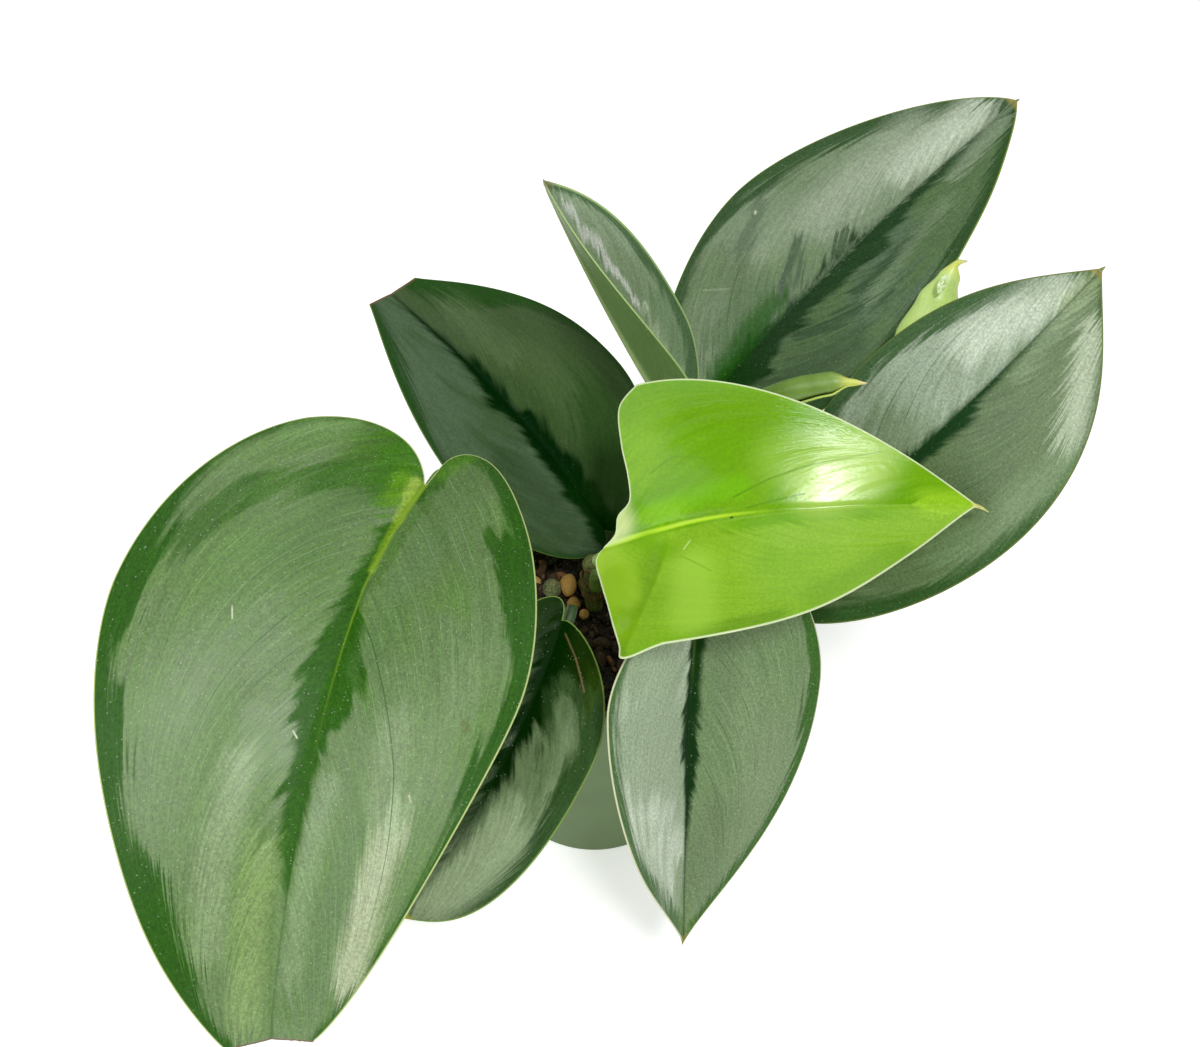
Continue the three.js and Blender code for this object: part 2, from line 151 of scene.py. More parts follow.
# Vines, and the stalks that leave them: node is the height, out the heading in degrees, via the
# places that the stalk passes, knee how far the bend lies behind and below the blade's base.
VINES = {
    "left": dict(foot=(0, 11), top=102.5, nodes=(86, 92, 99)),
    "right": dict(foot=(24, 6), top=114, nodes=(86, 94, 101)),
    "front": dict(foot=(-14, -14), top=98, nodes=(88,)),
}
STALKS = {
    "great": dict(vine="front", node=86, out=165, knee=(-9, -4),
                  via=[(-24, -12, 102), (-30, -10, 122), (-37, -5, 139), (-43, 2, 147)]),
    "upper_left": dict(vine="left", node=86, out=75, knee=(-2, -6), via=[]),
    "folded": dict(vine="right", node=98, out=95, knee=(-5, -5), via=[(24, 18, 122)]),
    "lime": dict(vine="left", node=95, out=-80, knee=(-4, -6), via=[(7, -6, 112), (6, -22, 132)]),
    "upper_right": dict(vine="right", node=84, out=70, knee=(-6, -6), via=[(32, 26, 106)]),
    "right": dict(vine="right", node=88, out=-10, knee=(-6, -6), via=[(42, 1, 106)]),
    "front": dict(vine="right", node=104, out=-90, knee=(-5, -8), via=[(25, -12, 130)]),
    "lower_front": dict(vine="front", node=90, out=-90, knee=(-5, -6), via=[(-12, -26, 108)]),
}
# Rolled shoots. radius is the half-width at each place of the path and flatness the roll's depth
# over its width. slit is where the sheet's inner edge lies, in degrees, and loose how much narrower
# the roll is there.
SHOOTS = {
    "furled_leaf": dict(
        path=[(25.8, 6, 114.7), (26.8, 6.4, 121), (45, 15, 135), (70, 22, 147), (88, 25, 155),
              (95.5, 26, 166), (97.5, 28.5, 177), (100.5, 33, 187), (103.6, 37, 193.2),
              (105.8, 39.6, 196.4), (108.8, 40.2, 196.6)],
        radius=[1.5, 1.5, 1.7, 1.9, 2.6, 8, 9.2, 6.4, 3.4, 1.0, 0.25],
        flatness=0.55, slit=226, loose=0.16),
    "spear": dict(
        path=[(22.2, 6, 114.7), (22.2, 6, 120), (32, 8.4, 145), (44, 7, 168.6), (56, 3, 178.6),
              (66, 0.4, 183.8), (71.5, -1.4, 185.6), (75.4, -2.8, 186.4)],
        radius=[1.5, 1.5, 1.8, 3.1, 4.3, 3.8, 1.2, 0.3],
        flatness=0.8, slit=256, loose=0.36),
}


# Small helpers
def mix(pair, t):
    return pair[0] + (pair[1] - pair[0]) * t


def smooth_step(low, high, value):
    t = np.clip((value - low) / (high - low), 0, 1)
    return t * t * (3 - 2 * t)


def heading(degrees):
    angle = math.radians(degrees)
    return np.array([math.cos(angle), math.sin(angle), 0.0])


def unit(vectors):
    return vectors / np.maximum(np.linalg.norm(vectors, axis=-1, keepdims=True), 1e-9)


def srgb(red, green, blue):
    """An 8-bit sRGB colour as the linear colour that a shader takes."""
    def linear(channel):
        value = channel / 255
        return value / 12.92 if value <= 0.04045 else ((value + 0.055) / 1.055) ** 2.4
    return (linear(red), linear(green), linear(blue), 1.0)


def add_piece(name, points, faces, material, slot, node=None, attributes=None, merge=None):
    """A smooth piece from points in millimetres, with its normals facing out. It takes the given
    material as its finish and may stand for one of the part's nodes. slot is not used."""
    mesh = bpy.data.meshes.new(name)
    mesh.from_pydata((np.asarray(points) * MM).tolist(), [], faces)
    for key, values in (attributes or {}).items():
        layer = mesh.attributes.new(key, "FLOAT_VECTOR", "POINT")
        layer.data.foreach_set("vector", np.asarray(values, dtype=np.float32).ravel())
    work = bmesh.new()
    work.from_mesh(mesh)
    if merge:
        bmesh.ops.remove_doubles(work, verts=work.verts, dist=merge * MM)
        bmesh.ops.dissolve_degenerate(work, edges=work.edges, dist=merge * MM / 10)
    bmesh.ops.recalc_face_normals(work, faces=work.faces)
    work.to_mesh(mesh)
    work.free()
    mesh.polygons.foreach_set("use_smooth", [True] * len(mesh.polygons))
    mesh.materials.append(material)
    piece = bpy.data.objects.new(name, mesh)
    bpy.context.scene.collection.objects.link(piece)
    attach(piece, "root")
    if node:
        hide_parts(node)
    return piece


def grid_faces(rows, columns, closed=False, offset=0):
    """Quads of a grid of points that is stored row by row."""
    faces = []
    last = columns if closed else columns - 1
    for row in range(rows - 1):
        for column in range(last):
            right = (column + 1) % columns
            a = offset + row * columns + column
            b = offset + row * columns + right
            faces.append((a, b, b + columns, a + columns))
    return faces


def edge_faces(rows, columns, first, second):
    """Quads that join the edges of two equal grids whose points begin at first and at second."""
    edge = (list(range(columns)) + [row * columns + columns - 1 for row in range(1, rows)]
            + [(rows - 1) * columns + column for column in range(columns - 2, -1, -1)]
            + [row * columns for row in range(rows - 2, 0, -1)])
    return [(first + k, first + after, second + after, second + k)
            for k, after in zip(edge, edge[1:] + edge[:1])]


# Curves
def spline_through(points, per_span=24):
    """A centripetal Catmull-Rom curve through points, as a dense line."""
    points = [np.array(p, dtype=float) for p in points]
    points = [2 * points[0] - points[1]] + points + [2 * points[-1] - points[-2]]
    t = np.linspace(0, 1, per_span, endpoint=False)[:, None]
    line = []
    for before, start, end, after in zip(points, points[1:], points[2:], points[3:]):
        first, middle, last = (math.sqrt(np.linalg.norm(q - p)) for p, q in
                               ((before, start), (start, end), (end, after)))
        leave = middle * ((start - before) / first - (end - before) / (first + middle)
                          + (end - start) / middle)
        arrive = middle * ((end - start) / middle - (after - start) / (middle + last)
                           + (after - end) / last)
        line.append(hermite(start, end, leave, arrive, t))
    return np.vstack(line + [points[-2][None]])


def hermite(start, end, leave, arrive, t):
    """The curve from start to end that leaves and arrives with the given tangents."""
    return (start + leave * t + (3 * (end - start) - 2 * leave - arrive) * t ** 2
            + (2 * (start - end) + leave + arrive) * t ** 3)


def flat_spline(points, t):
    """A Catmull-Rom curve through flat points, where t runs from 0 to 1 over all of them."""
    points = np.array(points, dtype=float)
    spans = len(points) - 1
    at = np.clip(t * spans, 0, spans - 1e-9)
    i = at.astype(int)
    before, start, end, after = (points[np.clip(i + k, 0, spans)] for k in (-1, 0, 1, 2))
    return hermite(start, end, (end - before) / 2, (after - start) / 2, (at - i)[:, None])


def cubic(points, t):
    """A Bezier curve from its four control points."""
    a, b, c, d = (np.array(p, dtype=float) for p in points)
    t = t[:, None]
    return a * (1 - t) ** 3 + 3 * b * t * (1 - t) ** 2 + 3 * c * t ** 2 * (1 - t) + d * t ** 3


def spaced(line, count):
    """count places at even distances along a dense line, and their tangents."""
    lengths = np.concatenate([[0], np.cumsum(np.linalg.norm(np.diff(line, axis=0), axis=1))])
    at = np.linspace(0, lengths[-1], count)
    places = np.stack([np.interp(at, lengths, line[:, k]) for k in range(3)], -1)
    return places, unit(np.gradient(places, axis=0))


def sweep_frames(tangents, toward):
    """Two directions across a curve at each place, the second as near toward as it can be."""
    wide = unit(np.cross(tangents, toward))
    return wide, unit(np.cross(wide, tangents))


def carried_frames(tangents, first):
    """Two directions across a curve that turn as little as they can along it."""
    across = unit(first - tangents[0] * np.dot(first, tangents[0]))
    rows = []
    for tangent in tangents:
        across = unit(across - tangent * np.dot(across, tangent))
        rows.append(across)
    wide = np.array(rows)
    return wide, np.cross(tangents, wide)


def distance_to_line(x, y, line):
    """The distance of flat points from a flat line of points."""
    best = np.full(x.shape, np.inf)
    for start, end in zip(line[:-1], line[1:]):
        span = end - start
        size = max(float(span @ span), 1e-12)
        t = np.clip(((x - start[0]) * span[0] + (y - start[1]) * span[1]) / size, 0, 1)
        best = np.minimum(best, np.hypot(x - start[0] - t * span[0], y - start[1] - t * span[1]))
    return best


# Leaf blades
def leaf_slot(name):
    return "lime_leaf" if name == "lime" else "leaf"


def midrib_frame(leaf, x):
    """The midrib's heading, the blade's left and its upward side at distances x from the stalk."""
    t = np.clip(x / leaf["length"], 0, 1)
    yaw = np.radians(leaf["yaw"] + leaf["sweep"] * t)
    pitch = np.radians(mix(leaf["pitch"], t))
    roll = np.radians(mix(leaf["roll"], t))[..., None]
    along = np.stack([np.cos(pitch) * np.cos(yaw), np.cos(pitch) * np.sin(yaw), np.sin(pitch)], -1)
    level = np.stack([-np.sin(pitch) * np.cos(yaw), -np.sin(pitch) * np.sin(yaw), np.cos(pitch)], -1)
    side = np.cross(level, along)
    left = side * np.cos(roll) + level * np.sin(roll)
    up = level * np.cos(roll) - side * np.sin(roll)
    return along, left, up


def midrib_point(leaf, x):
    """The place on the midrib at distances x from the stalk, by summing short steps."""
    length = leaf["length"]
    ends = np.linspace(0, length, MIDRIB_STEPS + 1)
    steps = midrib_frame(leaf, (ends[1:] + ends[:-1]) / 2)[0] * (length / MIDRIB_STEPS)
    line = np.vstack([np.zeros(3), np.cumsum(steps, axis=0)])
    inside = np.stack([np.interp(x, ends, line[:, k]) for k in range(3)], -1)
    outside = (np.minimum(x, 0) + np.maximum(x - length, 0))[..., None]
    return np.array(leaf["base"]) + inside + outside * midrib_frame(leaf, x)[0]


def blade_point(leaf, x, d, side):
    """The place x along the midrib and d out to one side, and the way that the blade faces there."""
    _, left, up = midrib_frame(leaf, x)
    width = leaf["half"][0 if side > 0 else 1]
    cup = math.radians(leaf["cup"])
    bend = math.radians(leaf["curl"]) / width
    angle = cup + bend * d
    out = ((np.sin(angle) - math.sin(cup)) / bend)[..., None]
    rise = ((math.cos(cup) - np.cos(angle)) / bend)[..., None]
    place = midrib_point(leaf, x) + side * out * left + rise * up
    facing = up * np.cos(angle)[..., None] - side * left * np.sin(angle)[..., None]
    return place, facing


# How far the control points of an outline's curves reach: round the lobe, to the widest place and
# back from the tip, as shares of the lobe, the half-width or the length
LOBE_ARM = 4 / 3
LOBE_RISE = 0.35
SHOULDER = 0.55
TIP_ARM = 0.25


def half_outline(leaf, side, q):
    """One half of the flat outline, from the stalk (q 0) round the lobe to the tip (q 1)."""
    which = 0 if side > 0 else 1
    width = leaf["half"][which]
    widest = leaf["widest"] * leaf["length"]
    rest = leaf["length"] - widest
    end = leaf["length"] + side * leaf["slant"]
    tip_angle = math.radians(leaf["tip_angle"])
    first = np.clip(2 * q, 0, 1)
    if "base_edge" in leaf:
        base = flat_spline(leaf["base_edge"][which], first)
    else:
        lobe = leaf["lobe"][which]
        base = cubic([(0, 0), (-LOBE_ARM * lobe, LOBE_RISE * leaf["fullness"][which] * width),
                      (widest - SHOULDER * (widest + lobe), width), (widest, width)], first)
    arm = TIP_ARM * rest
    fullness = np.broadcast_to(leaf["tip_fullness"], 2)[which]
    tip = cubic([(widest, width), (widest + fullness * rest, width),
                 (end - arm * math.cos(tip_angle), leaf["cut"] + arm * math.sin(tip_angle)),
                 (end, leaf["cut"])], np.clip(2 * q - 1, 0, 1))
    outline = np.where(q[:, None] < 0.5, base, tip)
    notch = leaf.get("notch", (0, 0))[which] * smooth_step(1, -4, outline[:, 0])
    return np.stack([outline[:, 0], np.maximum(outline[:, 1], notch)], -1)


# How the side veins run: they leave the midrib forward, arch out and come together beyond the tip. A
# vein's number is the place on the midrib where it starts; it is negative for veins round a lobe.
VEIN_SLOPE = (1.2, 0.4)
VEIN_END = 1.2
CUT_VEIN_END = 1.35
LEAST_REACH = 4.0


def vein_start(leaf, x, d):
    end = leaf["length"] * (CUT_VEIN_END if leaf["cut"] else VEIN_END)
    ahead = mix(VEIN_SLOPE, np.clip(x / leaf["length"], 0, 1)) * (end - x)
    return (x * ahead - d * end) / np.maximum(ahead - d, LEAST_REACH)


# Relief of a blade, in millimetres. EDGE_THICKNESS is the thickness at the edge and further in, as
# shares of the blade's, and points closer than WELD become one.
GROOVE_DEPTH = 0.5
GROOVE_WIDTH = 1.1
QUILT_SPACING = 9.0
FINE_SPACING = 3.1
RIM_ROUNDING = 0.12
EDGE_THICKNESS = (0.55, 0.9)
WELD = 0.002
# The midrib of most leaves stays on the middle line
NO_DRIFT = (0, 0, 1)


def relief(leaf, x, d, margin, side):
    """How far the blade stands above its smooth form: the midrib's groove, the soft uneven quilting
    between the side veins, folds along the blade and a slow wave."""
    t = np.clip(x / leaf["length"], 0, 1)
    seed = leaf["seed"]
    reach, first, last = leaf.get("drift", NO_DRIFT)
    drift = reach * np.sin(math.pi * np.clip((x - first) / (last - first), 0, 1))
    groove = -GROOVE_DEPTH * (1 - 0.7 * t) * np.exp(-(((side * d - drift) / GROOVE_WIDTH) ** 2))
    start = vein_start(leaf, x, d)
    warped = start + 2.5 * np.sin(start / 7 + seed + side) + 1.5 * np.sin(d / 9 + 2 * seed)
    fade = smooth_step(1, 7, d) * smooth_step(0, 6, margin)
    strength = leaf["quilt"] * (0.6 + 0.4 * np.sin(start / 11 + 2 * seed * side)) * fade
    quilt = strength * (np.sin(2 * math.pi * warped / QUILT_SPACING)
                        + 0.25 * np.sin(2 * math.pi * warped / FINE_SPACING + seed))
    wave = leaf["wave"] * np.sin(0.075 * x + 0.11 * side * d + seed) * smooth_step(3, 20, d)
    height = groove + quilt + wave
    for line, width, rise in leaf.get("folds", ()):
        off = distance_to_line(x, side * d, np.array(line, dtype=float))
        height = height + rise * np.exp(-((off / width) ** 2))
    return height


def blade_half(leaf, side, q, v):
    """The points of one half: their flat place, the upper surface and the way it faces."""
    edge = half_outline(leaf, side, q)
    start = leaf["length"] * q ** 1.15
    x = start[:, None] + (edge[:, :1] - start[:, None]) * v[None, :]
    d = np.maximum(edge[:, 1:], 0) * v[None, :]
    margin = distance_to_line(x, d, edge)
    place, facing = blade_point(leaf, x, d, side)
    height = relief(leaf, x, d, margin, side)
    vein = vein_start(leaf, x, d)
    return x, side * d, margin, vein, place + facing * height[..., None], facing


def blade(name, leaf, material):
    """A thin closed blade: its upper face, the lower one with the keel, and a rounded rim."""
    q = np.linspace(0, 1, BLADE_ROWS + 1)
    even = np.linspace(0, 1, BLADE_COLUMNS + 1)
    v = 0.6 * even + 0.4 * (0.5 - 0.5 * np.cos(math.pi * even))
    left = blade_half(leaf, 1, q, v)
    right = blade_half(leaf, -1, q, v)
    x, d, margin, vein, upper, facing = (
        np.concatenate([l[:, ::-1], r[:, 1:]], axis=1) for l, r in zip(left, right))
    rows, columns = x.shape
    t = np.clip(x / leaf["length"], 0, 1)
    thin = BLADE_THICKNESS * mix(EDGE_THICKNESS, smooth_step(0, 3, margin))
    keel = KEEL_THICKNESS * (1 - t) ** 0.8 * np.exp(-((d / (1.6 - 0.8 * t)) ** 2))
    lower = upper - facing * (thin + keel)[..., None]

    def border(inset):
        """The points round the blade from its base over the tip, or the ones just inside them."""
        last = columns - 1
        return ([(row, inset) for row in range(rows)]
                + [(rows - 1 - inset, column) for column in range(1, columns)]
                + [(row, last - inset) for row in range(rows - 2, -1, -1)])

    ring = border(0)
    at = tuple(np.array(ring).T)
    outward = unit(upper[at] - upper[tuple(np.array(border(1)).T)])
    rim = (upper[at] + lower[at]) / 2 + RIM_ROUNDING * outward

    count = rows * columns
    faces = grid_faces(rows, columns) + grid_faces(rows, columns, offset=count)
    flat_index = [row * columns + column for row, column in ring]
    for i, (a, b) in enumerate(zip(flat_index, flat_index[1:])):
        faces.append((a, b, 2 * count + i + 1, 2 * count + i))
        faces.append((2 * count + i, 2 * count + i + 1, count + b, count + a))
    points = np.vstack([upper.reshape(-1, 3), lower.reshape(-1, 3), rim])
    end = leaf["length"] + np.sign(d) * leaf["slant"] * np.abs(d) / max(leaf["cut"], 1) - x
    places = np.stack([x, d, margin], -1)
    veins = np.stack([vein, np.ones_like(x), end], -1)
    under = veins * (1, 0, 1)
    rim_veins = veins[at] * (1, 0.5, 1)
    attributes = {
        "leaf_place": np.vstack([places.reshape(-1, 3)] * 2 + [places[at]]),
        "leaf_vein": np.vstack([veins.reshape(-1, 3), under.reshape(-1, 3), rim_veins]),
    }
    add_piece(f"blade_{name}", points, faces, material, leaf_slot(name), f"leaf_{name}",
              attributes, WELD)


# Node trees
class Shader:
    """Builds one material's nodes. Inputs may be numbers, colours or other nodes' outputs."""

    def __init__(self, name):
        self.material = bpy.data.materials.new(name)
        self.material.use_nodes = True
        self.tree = self.material.node_tree
        self.tree.nodes.clear()

    def node(self, kind, inputs=None, **settings):
        made = self.tree.nodes.new("ShaderNode" + kind)
        for key, value in settings.items():
            setattr(made, key, value)
        for key, value in (inputs or {}).items():
            self.put(value, made.inputs[key])
        return made

    def put(self, value, socket):
        if isinstance(value, bpy.types.NodeSocket):
            self.tree.links.new(value, socket)
        else:
            socket.default_value = value

    def math(self, operation, a, b=0.0):
        return self.node("Math", {0: a, 1: b}, operation=operation).outputs[0]

    def add(self, a, b):
        return self.math("ADD", a, b)

    def minus(self, a, b):
        return self.math("SUBTRACT", a, b)

    def times(self, a, b):
        return self.math("MULTIPLY", a, b)

    def larger(self, a, b):
        return self.math("MAXIMUM", a, b)

    def absolute(self, a):
        return self.math("ABSOLUTE", a)

    def step(self, value, low, high):
        """Rises smoothly from 0 at low to 1 at high, or falls where low is the larger."""
        return self.node("MapRange", {"Value": value, "From Min": low, "From Max": high},
                         interpolation_type="SMOOTHSTEP").outputs[0]

    def line(self, value, low, high, start=0.0, end=1.0):
        return self.node("MapRange", {"Value": value, "From Min": low, "From Max": high,
                                      "To Min": start, "To Max": end}).outputs[0]

    def spread(self, noise, start, end):
        """The usual range of a noise, stretched to run from start to end."""
        return self.line(noise, 0.3, 0.7, start, end)

    def patches(self, noise):
        """Soft patches of 0 and 1 from a noise."""
        return self.step(noise, 0.35, 0.65)

    def mix(self, factor, a, b, blend="MIX"):
        made = self.node("Mix", data_type="RGBA", blend_type=blend)
        for key, value in (("Factor", factor), (6, a), (7, b)):
            self.put(value, made.inputs[key])
        return made.outputs[2]

    def blend(self, factor, a, b):
        """A number between a and b."""
        return self.node("Mix", {0: factor, 2: a, 3: b}).outputs[0]

    def shaded(self, color, light):
        return self.mix(1.0, color, self.vector(light, light, light), "MULTIPLY")

    def noise(self, vector, scale=1.0, detail=2.0, roughness=0.5):
        return self.node("TexNoise", {"Vector": vector, "Scale": scale, "Detail": detail,
                                      "Roughness": roughness}).outputs["Fac"]

    def vector(self, x=0.0, y=0.0, z=0.0):
        return self.node("CombineXYZ", {0: x, 1: y, 2: z}).outputs[0]

    def vector_math(self, operation, a, b):
        return self.node("VectorMath", {0: a, 1: b}, operation=operation).outputs

    def split(self, vector):
        return self.node("SeparateXYZ", {0: vector}).outputs

    def attribute(self, name):
        return self.node("Attribute", attribute_name=name).outputs["Vector"]

    def place(self):
        """The object's own coordinates in millimetres."""
        coordinates = self.node("TexCoord").outputs["Object"]
        return self.vector_math("MULTIPLY", coordinates, (1 / MM,) * 3)[0]

    def stroke(self, place, start, end, width):
        """1 on the line from start to end of a flat place, falling to 0 at width from it."""
        span = np.subtract(end, start)
        length = float(np.hypot(*span))
        way = (span[0] / length, span[1] / length, 0.0)
        ahead = self.vector_math("SUBTRACT", place, (*start, 0.0))[0]
        along = self.vector_math("DOT_PRODUCT", ahead, way)["Value"]
        along = self.line(along, 0.0, length, 0.0, length)
        nearest = self.node("VectorMath", {0: way, "Scale": along}, operation="SCALE").outputs[0]
        off = self.vector_math("DISTANCE", ahead, nearest)["Value"]
        return self.step(off, width, 0.2 * width)

    def strokes(self, color, place, lines):
        """The colour with strokes laid over it, each with its ends, reach, tone and strength."""
        for first, last, wide, tone, strength in lines:
            mask = self.times(self.stroke(place, first, last, wide), strength)
            color = self.mix(mask, color, srgb(*tone))
        return color

    def profile(self, value, points, length, top=25.0):
        """A width that follows points (place, width) along a length, both in millimetres."""
        node = self.node("FloatCurve", {"Value": self.times(value, 1 / length)})
        curve = node.mapping.curves[0]
        points = [(min(max(at / length, 0.0), 1.0), wide / top) for at, wide in points]
        if points[0][0] > 0:
            points.insert(0, (0.0, points[0][1]))
        if points[-1][0] < 1:
            points.append((1.0, points[-1][1]))
        curve.points[0].location = points[0]
        curve.points[1].location = points[-1]
        for point in points[1:-1]:
            curve.points.new(*point)
        node.mapping.update()
        return self.times(node.outputs[0], top)

    def drift(self, leaf, x):
        """How far the midrib lies from the blade's straight middle line at x."""
        reach, first, last = leaf.get("drift", NO_DRIFT)
        return self.times(self.math("SINE", self.line(x, first, last, 0.0, math.pi)), reach)

    def bump(self, height, distance, strength=1.0):
        return self.node("Bump", {"Height": height, "Distance": distance * MM,
                                  "Strength": strength}).outputs[0]

    def finish(self, color, roughness, normal=None, specular=0.5, glow=0.0):
        surface = self.node("BsdfPrincipled", {"Base Color": color, "Roughness": roughness,
                                               "Specular IOR Level": specular})
        if glow:
            surface.inputs["Emission Color"].default_value = (1.0, 1.0, 1.0, 1.0)
            surface.inputs["Emission Strength"].default_value = glow
        if normal is not None:
            self.put(normal, surface.inputs["Normal"])
        self.node("OutputMaterial", {"Surface": surface.outputs[0]})
        return self.material


# Leaf colours that several leaves share, and the roughness of the dark parts
PALE_MIDRIB = srgb(160, 178, 110)
CALLUS = srgb(112, 92, 58)
DUST_AND_GLINT = srgb(206, 214, 196)
DARK_ROUGHNESS = 0.42
# Strokes whose tone has less blue than this, out of 255, have no silver sheen
NO_SHEEN_BLUE = 34


def leaf_material(name, leaf):
    """Silver-green satin between a dark band at the midrib and a dark margin, both feathered along the
    side veins, with soft strokes of other tones, thin vein lines, dust and painted glints. Where the
    halves' silver differs it is partly painted light and shade, and some pale strokes are partly
    painted highlight and sheen."""
    look = leaf["look"]
    seed = leaf["seed"]
    length = leaf["length"]
    s = Shader(name)
    x, across, margin = s.split(s.attribute("leaf_place"))
    vein, face, end = s.split(s.attribute("leaf_vein"))
    d = s.minus(across, s.drift(leaf, x))
    out = s.absolute(d)
    is_left = s.step(d, -0.3, 0.3)
    t = s.times(x, 1 / length)
    layer = s.add(seed, s.times(is_left, 20.0))
    plain = s.vector(x, across)
    seeded = s.vector(x, across, seed)

    def flow(across, along, offset, detail, roughness=0.6):
        """Noise that is drawn out along the side veins."""
        place = s.vector(s.times(vein, across), s.times(x, along), s.add(layer, offset))
        return s.noise(place, detail=detail, roughness=roughness)

    def sides(pair):
        return s.blend(is_left, s.profile(x, pair[1], length), s.profile(x, pair[0], length))

    broad = flow(0.1, 0.03, 0.0, 1.0)
    teeth = flow(0.2, 0.05, 3.0, 4.0, 0.55)
    edge_teeth = flow(0.16, 0.04, 6.0, 4.0, 0.55)
    streak = flow(0.34, 0.035, 15.0, 3.0)
    fibre = flow(0.9, 0.06, 9.0, 3.0, 0.7)
    hair = flow(3.0, 0.12, 12.0, 1.0)
    grain = s.noise(seeded, scale=1.3, detail=3.0, roughness=0.7)
    slow = s.noise(seeded, scale=0.03, detail=2.0)

    # The dark band at the midrib, the dark margin and the dark streaks between them
    reach = sides(look["band"])
    ragged = s.add(s.times(reach, s.line(broad, 0.35, 0.65, 0.75, 1.15)),
                   s.times(s.step(reach, 0.2, 2.5), s.line(teeth, 0.46, 0.7, -0.6, look["teeth"])))
    soft = look["soft"]
    band = s.step(s.minus(out, ragged), soft, -soft)
    width = s.times(sides(look["edge"]), s.line(edge_teeth, 0.34, 0.66, *look["edge_range"]))
    edge = s.step(s.minus(margin, width), soft, -soft)
    ghost = s.times(s.step(streak, 0.58, 0.66), look["ghost"])
    dark = s.larger(s.larger(band, s.times(edge, look["edge_strength"])), ghost)
    # Where the halves' silver differs it is partly painted light: the half that catches the light is
    # lighter
    silver = s.mix(is_left, look["silver"][1], look["silver"][0])
    greener = s.step(s.add(slow, s.times(broad, 0.5)), 0.66, 0.86)
    silver = s.mix(s.times(greener, 0.6), silver, look["green"])
    deep = s.mix(s.step(t, 0.3, 0.02), look["deep"], look["base"])
    deep = s.mix(s.times(edge, s.minus(1.0, band)), deep, look["margin"])
    color = s.mix(dark, silver, deep)

    # Strokes and marks
    feathered = s.vector(s.add(x, s.spread(teeth, -6.0, 6.0)),
                         s.add(across, s.spread(streak, -1.5, 1.5)))
    for first, last, wide, tone, strength in look["strokes"]:
        mask = s.times(s.stroke(feathered, first, last, wide), s.line(fibre, 0.35, 0.65, 0.8, 1.0))
        mask = s.times(mask, strength)
        color = s.mix(mask, color, srgb(*tone))
        if tone[2] < NO_SHEEN_BLUE:
            dark = s.larger(dark, mask)
    color = s.strokes(color, plain, look["marks"])
    vary, grit = look["contrast"], look["grit"]
    light = s.times(s.spread(grain, 1 - grit, 1 + grit), s.spread(hair, 0.95, 1.05))
    light = s.times(s.spread(fibre, 1 - vary, 1 + vary), light)
    light = s.times(light, s.spread(streak, 1 - vary, 1 + vary))
    color = s.shaded(color, light)

    # Thin lines along the side veins: faint dark ones, some that show clearly, and pale threads
    waver = s.times(s.minus(slow, 0.5), 12.0)
    lines = s.math("PINGPONG", s.add(vein, waver), 4.6)
    faint = s.times(s.times(s.step(lines, 0.3, 0.08), s.step(out, 2.0, 6.0)), s.step(broad, 0.45, 0.6))
    color = s.mix(s.times(faint, 0.3), color, look["deep"])
    for side, number, first, last, strength in look["veins"]:
        shifted = s.add(vein, s.times(waver, 0.2))
        near = s.step(s.absolute(s.minus(shifted, number)), 0.55, 0.12)
        here = s.times(s.step(x, first, first + 5.0), s.step(x, last, last - 15.0))
        half_only = is_left if side > 0 else s.minus(1.0, is_left)
        color = s.mix(s.times(s.times(near, here), s.times(half_only, strength)), color, look["deep"])
    pale = s.math("PINGPONG", s.add(vein, s.times(waver, 0.6)), 2.3)
    threads = s.times(s.step(out, 3.0, 8.0), s.step(streak, 0.4, 0.6))
    threads = s.times(s.times(s.step(pale, 0.22, 0.05), threads), s.minus(1.0, dark))
    color = s.mix(s.times(threads, look["threads"]), color, DUST_AND_GLINT)

    # The midrib: pale near the stalk, a thin dark line further on
    at_base = s.times(s.line(x, 22.0, 0.0, 0.0, look["rib_base"]), s.step(x, -1.5, 0.5))
    half_width = s.add(s.line(t, 0.0, 0.7, look["rib"], 0.22), at_base)
    rib = s.step(s.minus(out, half_width), 0.45, -0.25)
    rib_fade = s.step(t, look["rib_fade"][1], look["rib_fade"][0])
    color = s.mix(s.times(rib, s.times(rib_fade, 0.85)), color, look["rib_color"])
    groove = s.times(s.step(out, 0.45, 0.1), s.minus(1.0, rib_fade))
    color = s.mix(s.times(groove, look["line"]), color, look["deep"])

    # Dust specks, and the finer sparkle of the cells as painted glints
    speck = s.node("TexVoronoi", {"Vector": seeded, "Scale": 0.5})
    dust = s.times(s.step(speck.outputs["Distance"], 0.1, 0.05),
                   s.step(s.split(speck.outputs["Color"])[0], 0.62, 0.95))
    glint = s.node("TexVoronoi", {"Vector": s.vector(s.times(x, 1.3), across, seed), "Scale": 0.9})
    glitter = s.times(s.step(glint.outputs["Distance"], 0.22, 0.1),
                      s.step(s.split(glint.outputs["Color"])[1], 0.62, 0.92))
    dust_and_glints = s.larger(s.times(dust, 0.7), s.times(glitter, 0.5))
    color = s.mix(s.times(dust_and_glints, look["dust"]), color, DUST_AND_GLINT)

    # The underside, the rim and the tip
    below = s.mix(s.times(s.step(out, 1.8, 0.6), 0.6), look["under"], PALE_MIDRIB)
    below = s.mix(s.spread(fibre, 0.0, 0.3), below, look["green"])
    color = s.mix(s.step(face, 0.4, 0.6), below, color)
    color = s.mix(s.step(margin, look["rim"], 0.4 * look["rim"]), color, look["rim_color"])
    if leaf["cut"]:
        color = s.mix(s.step(end, 0.8, 0.3), color, CALLUS)
    else:
        color = s.mix(s.step(end, 3.0, 0.8), color, look["tip"])

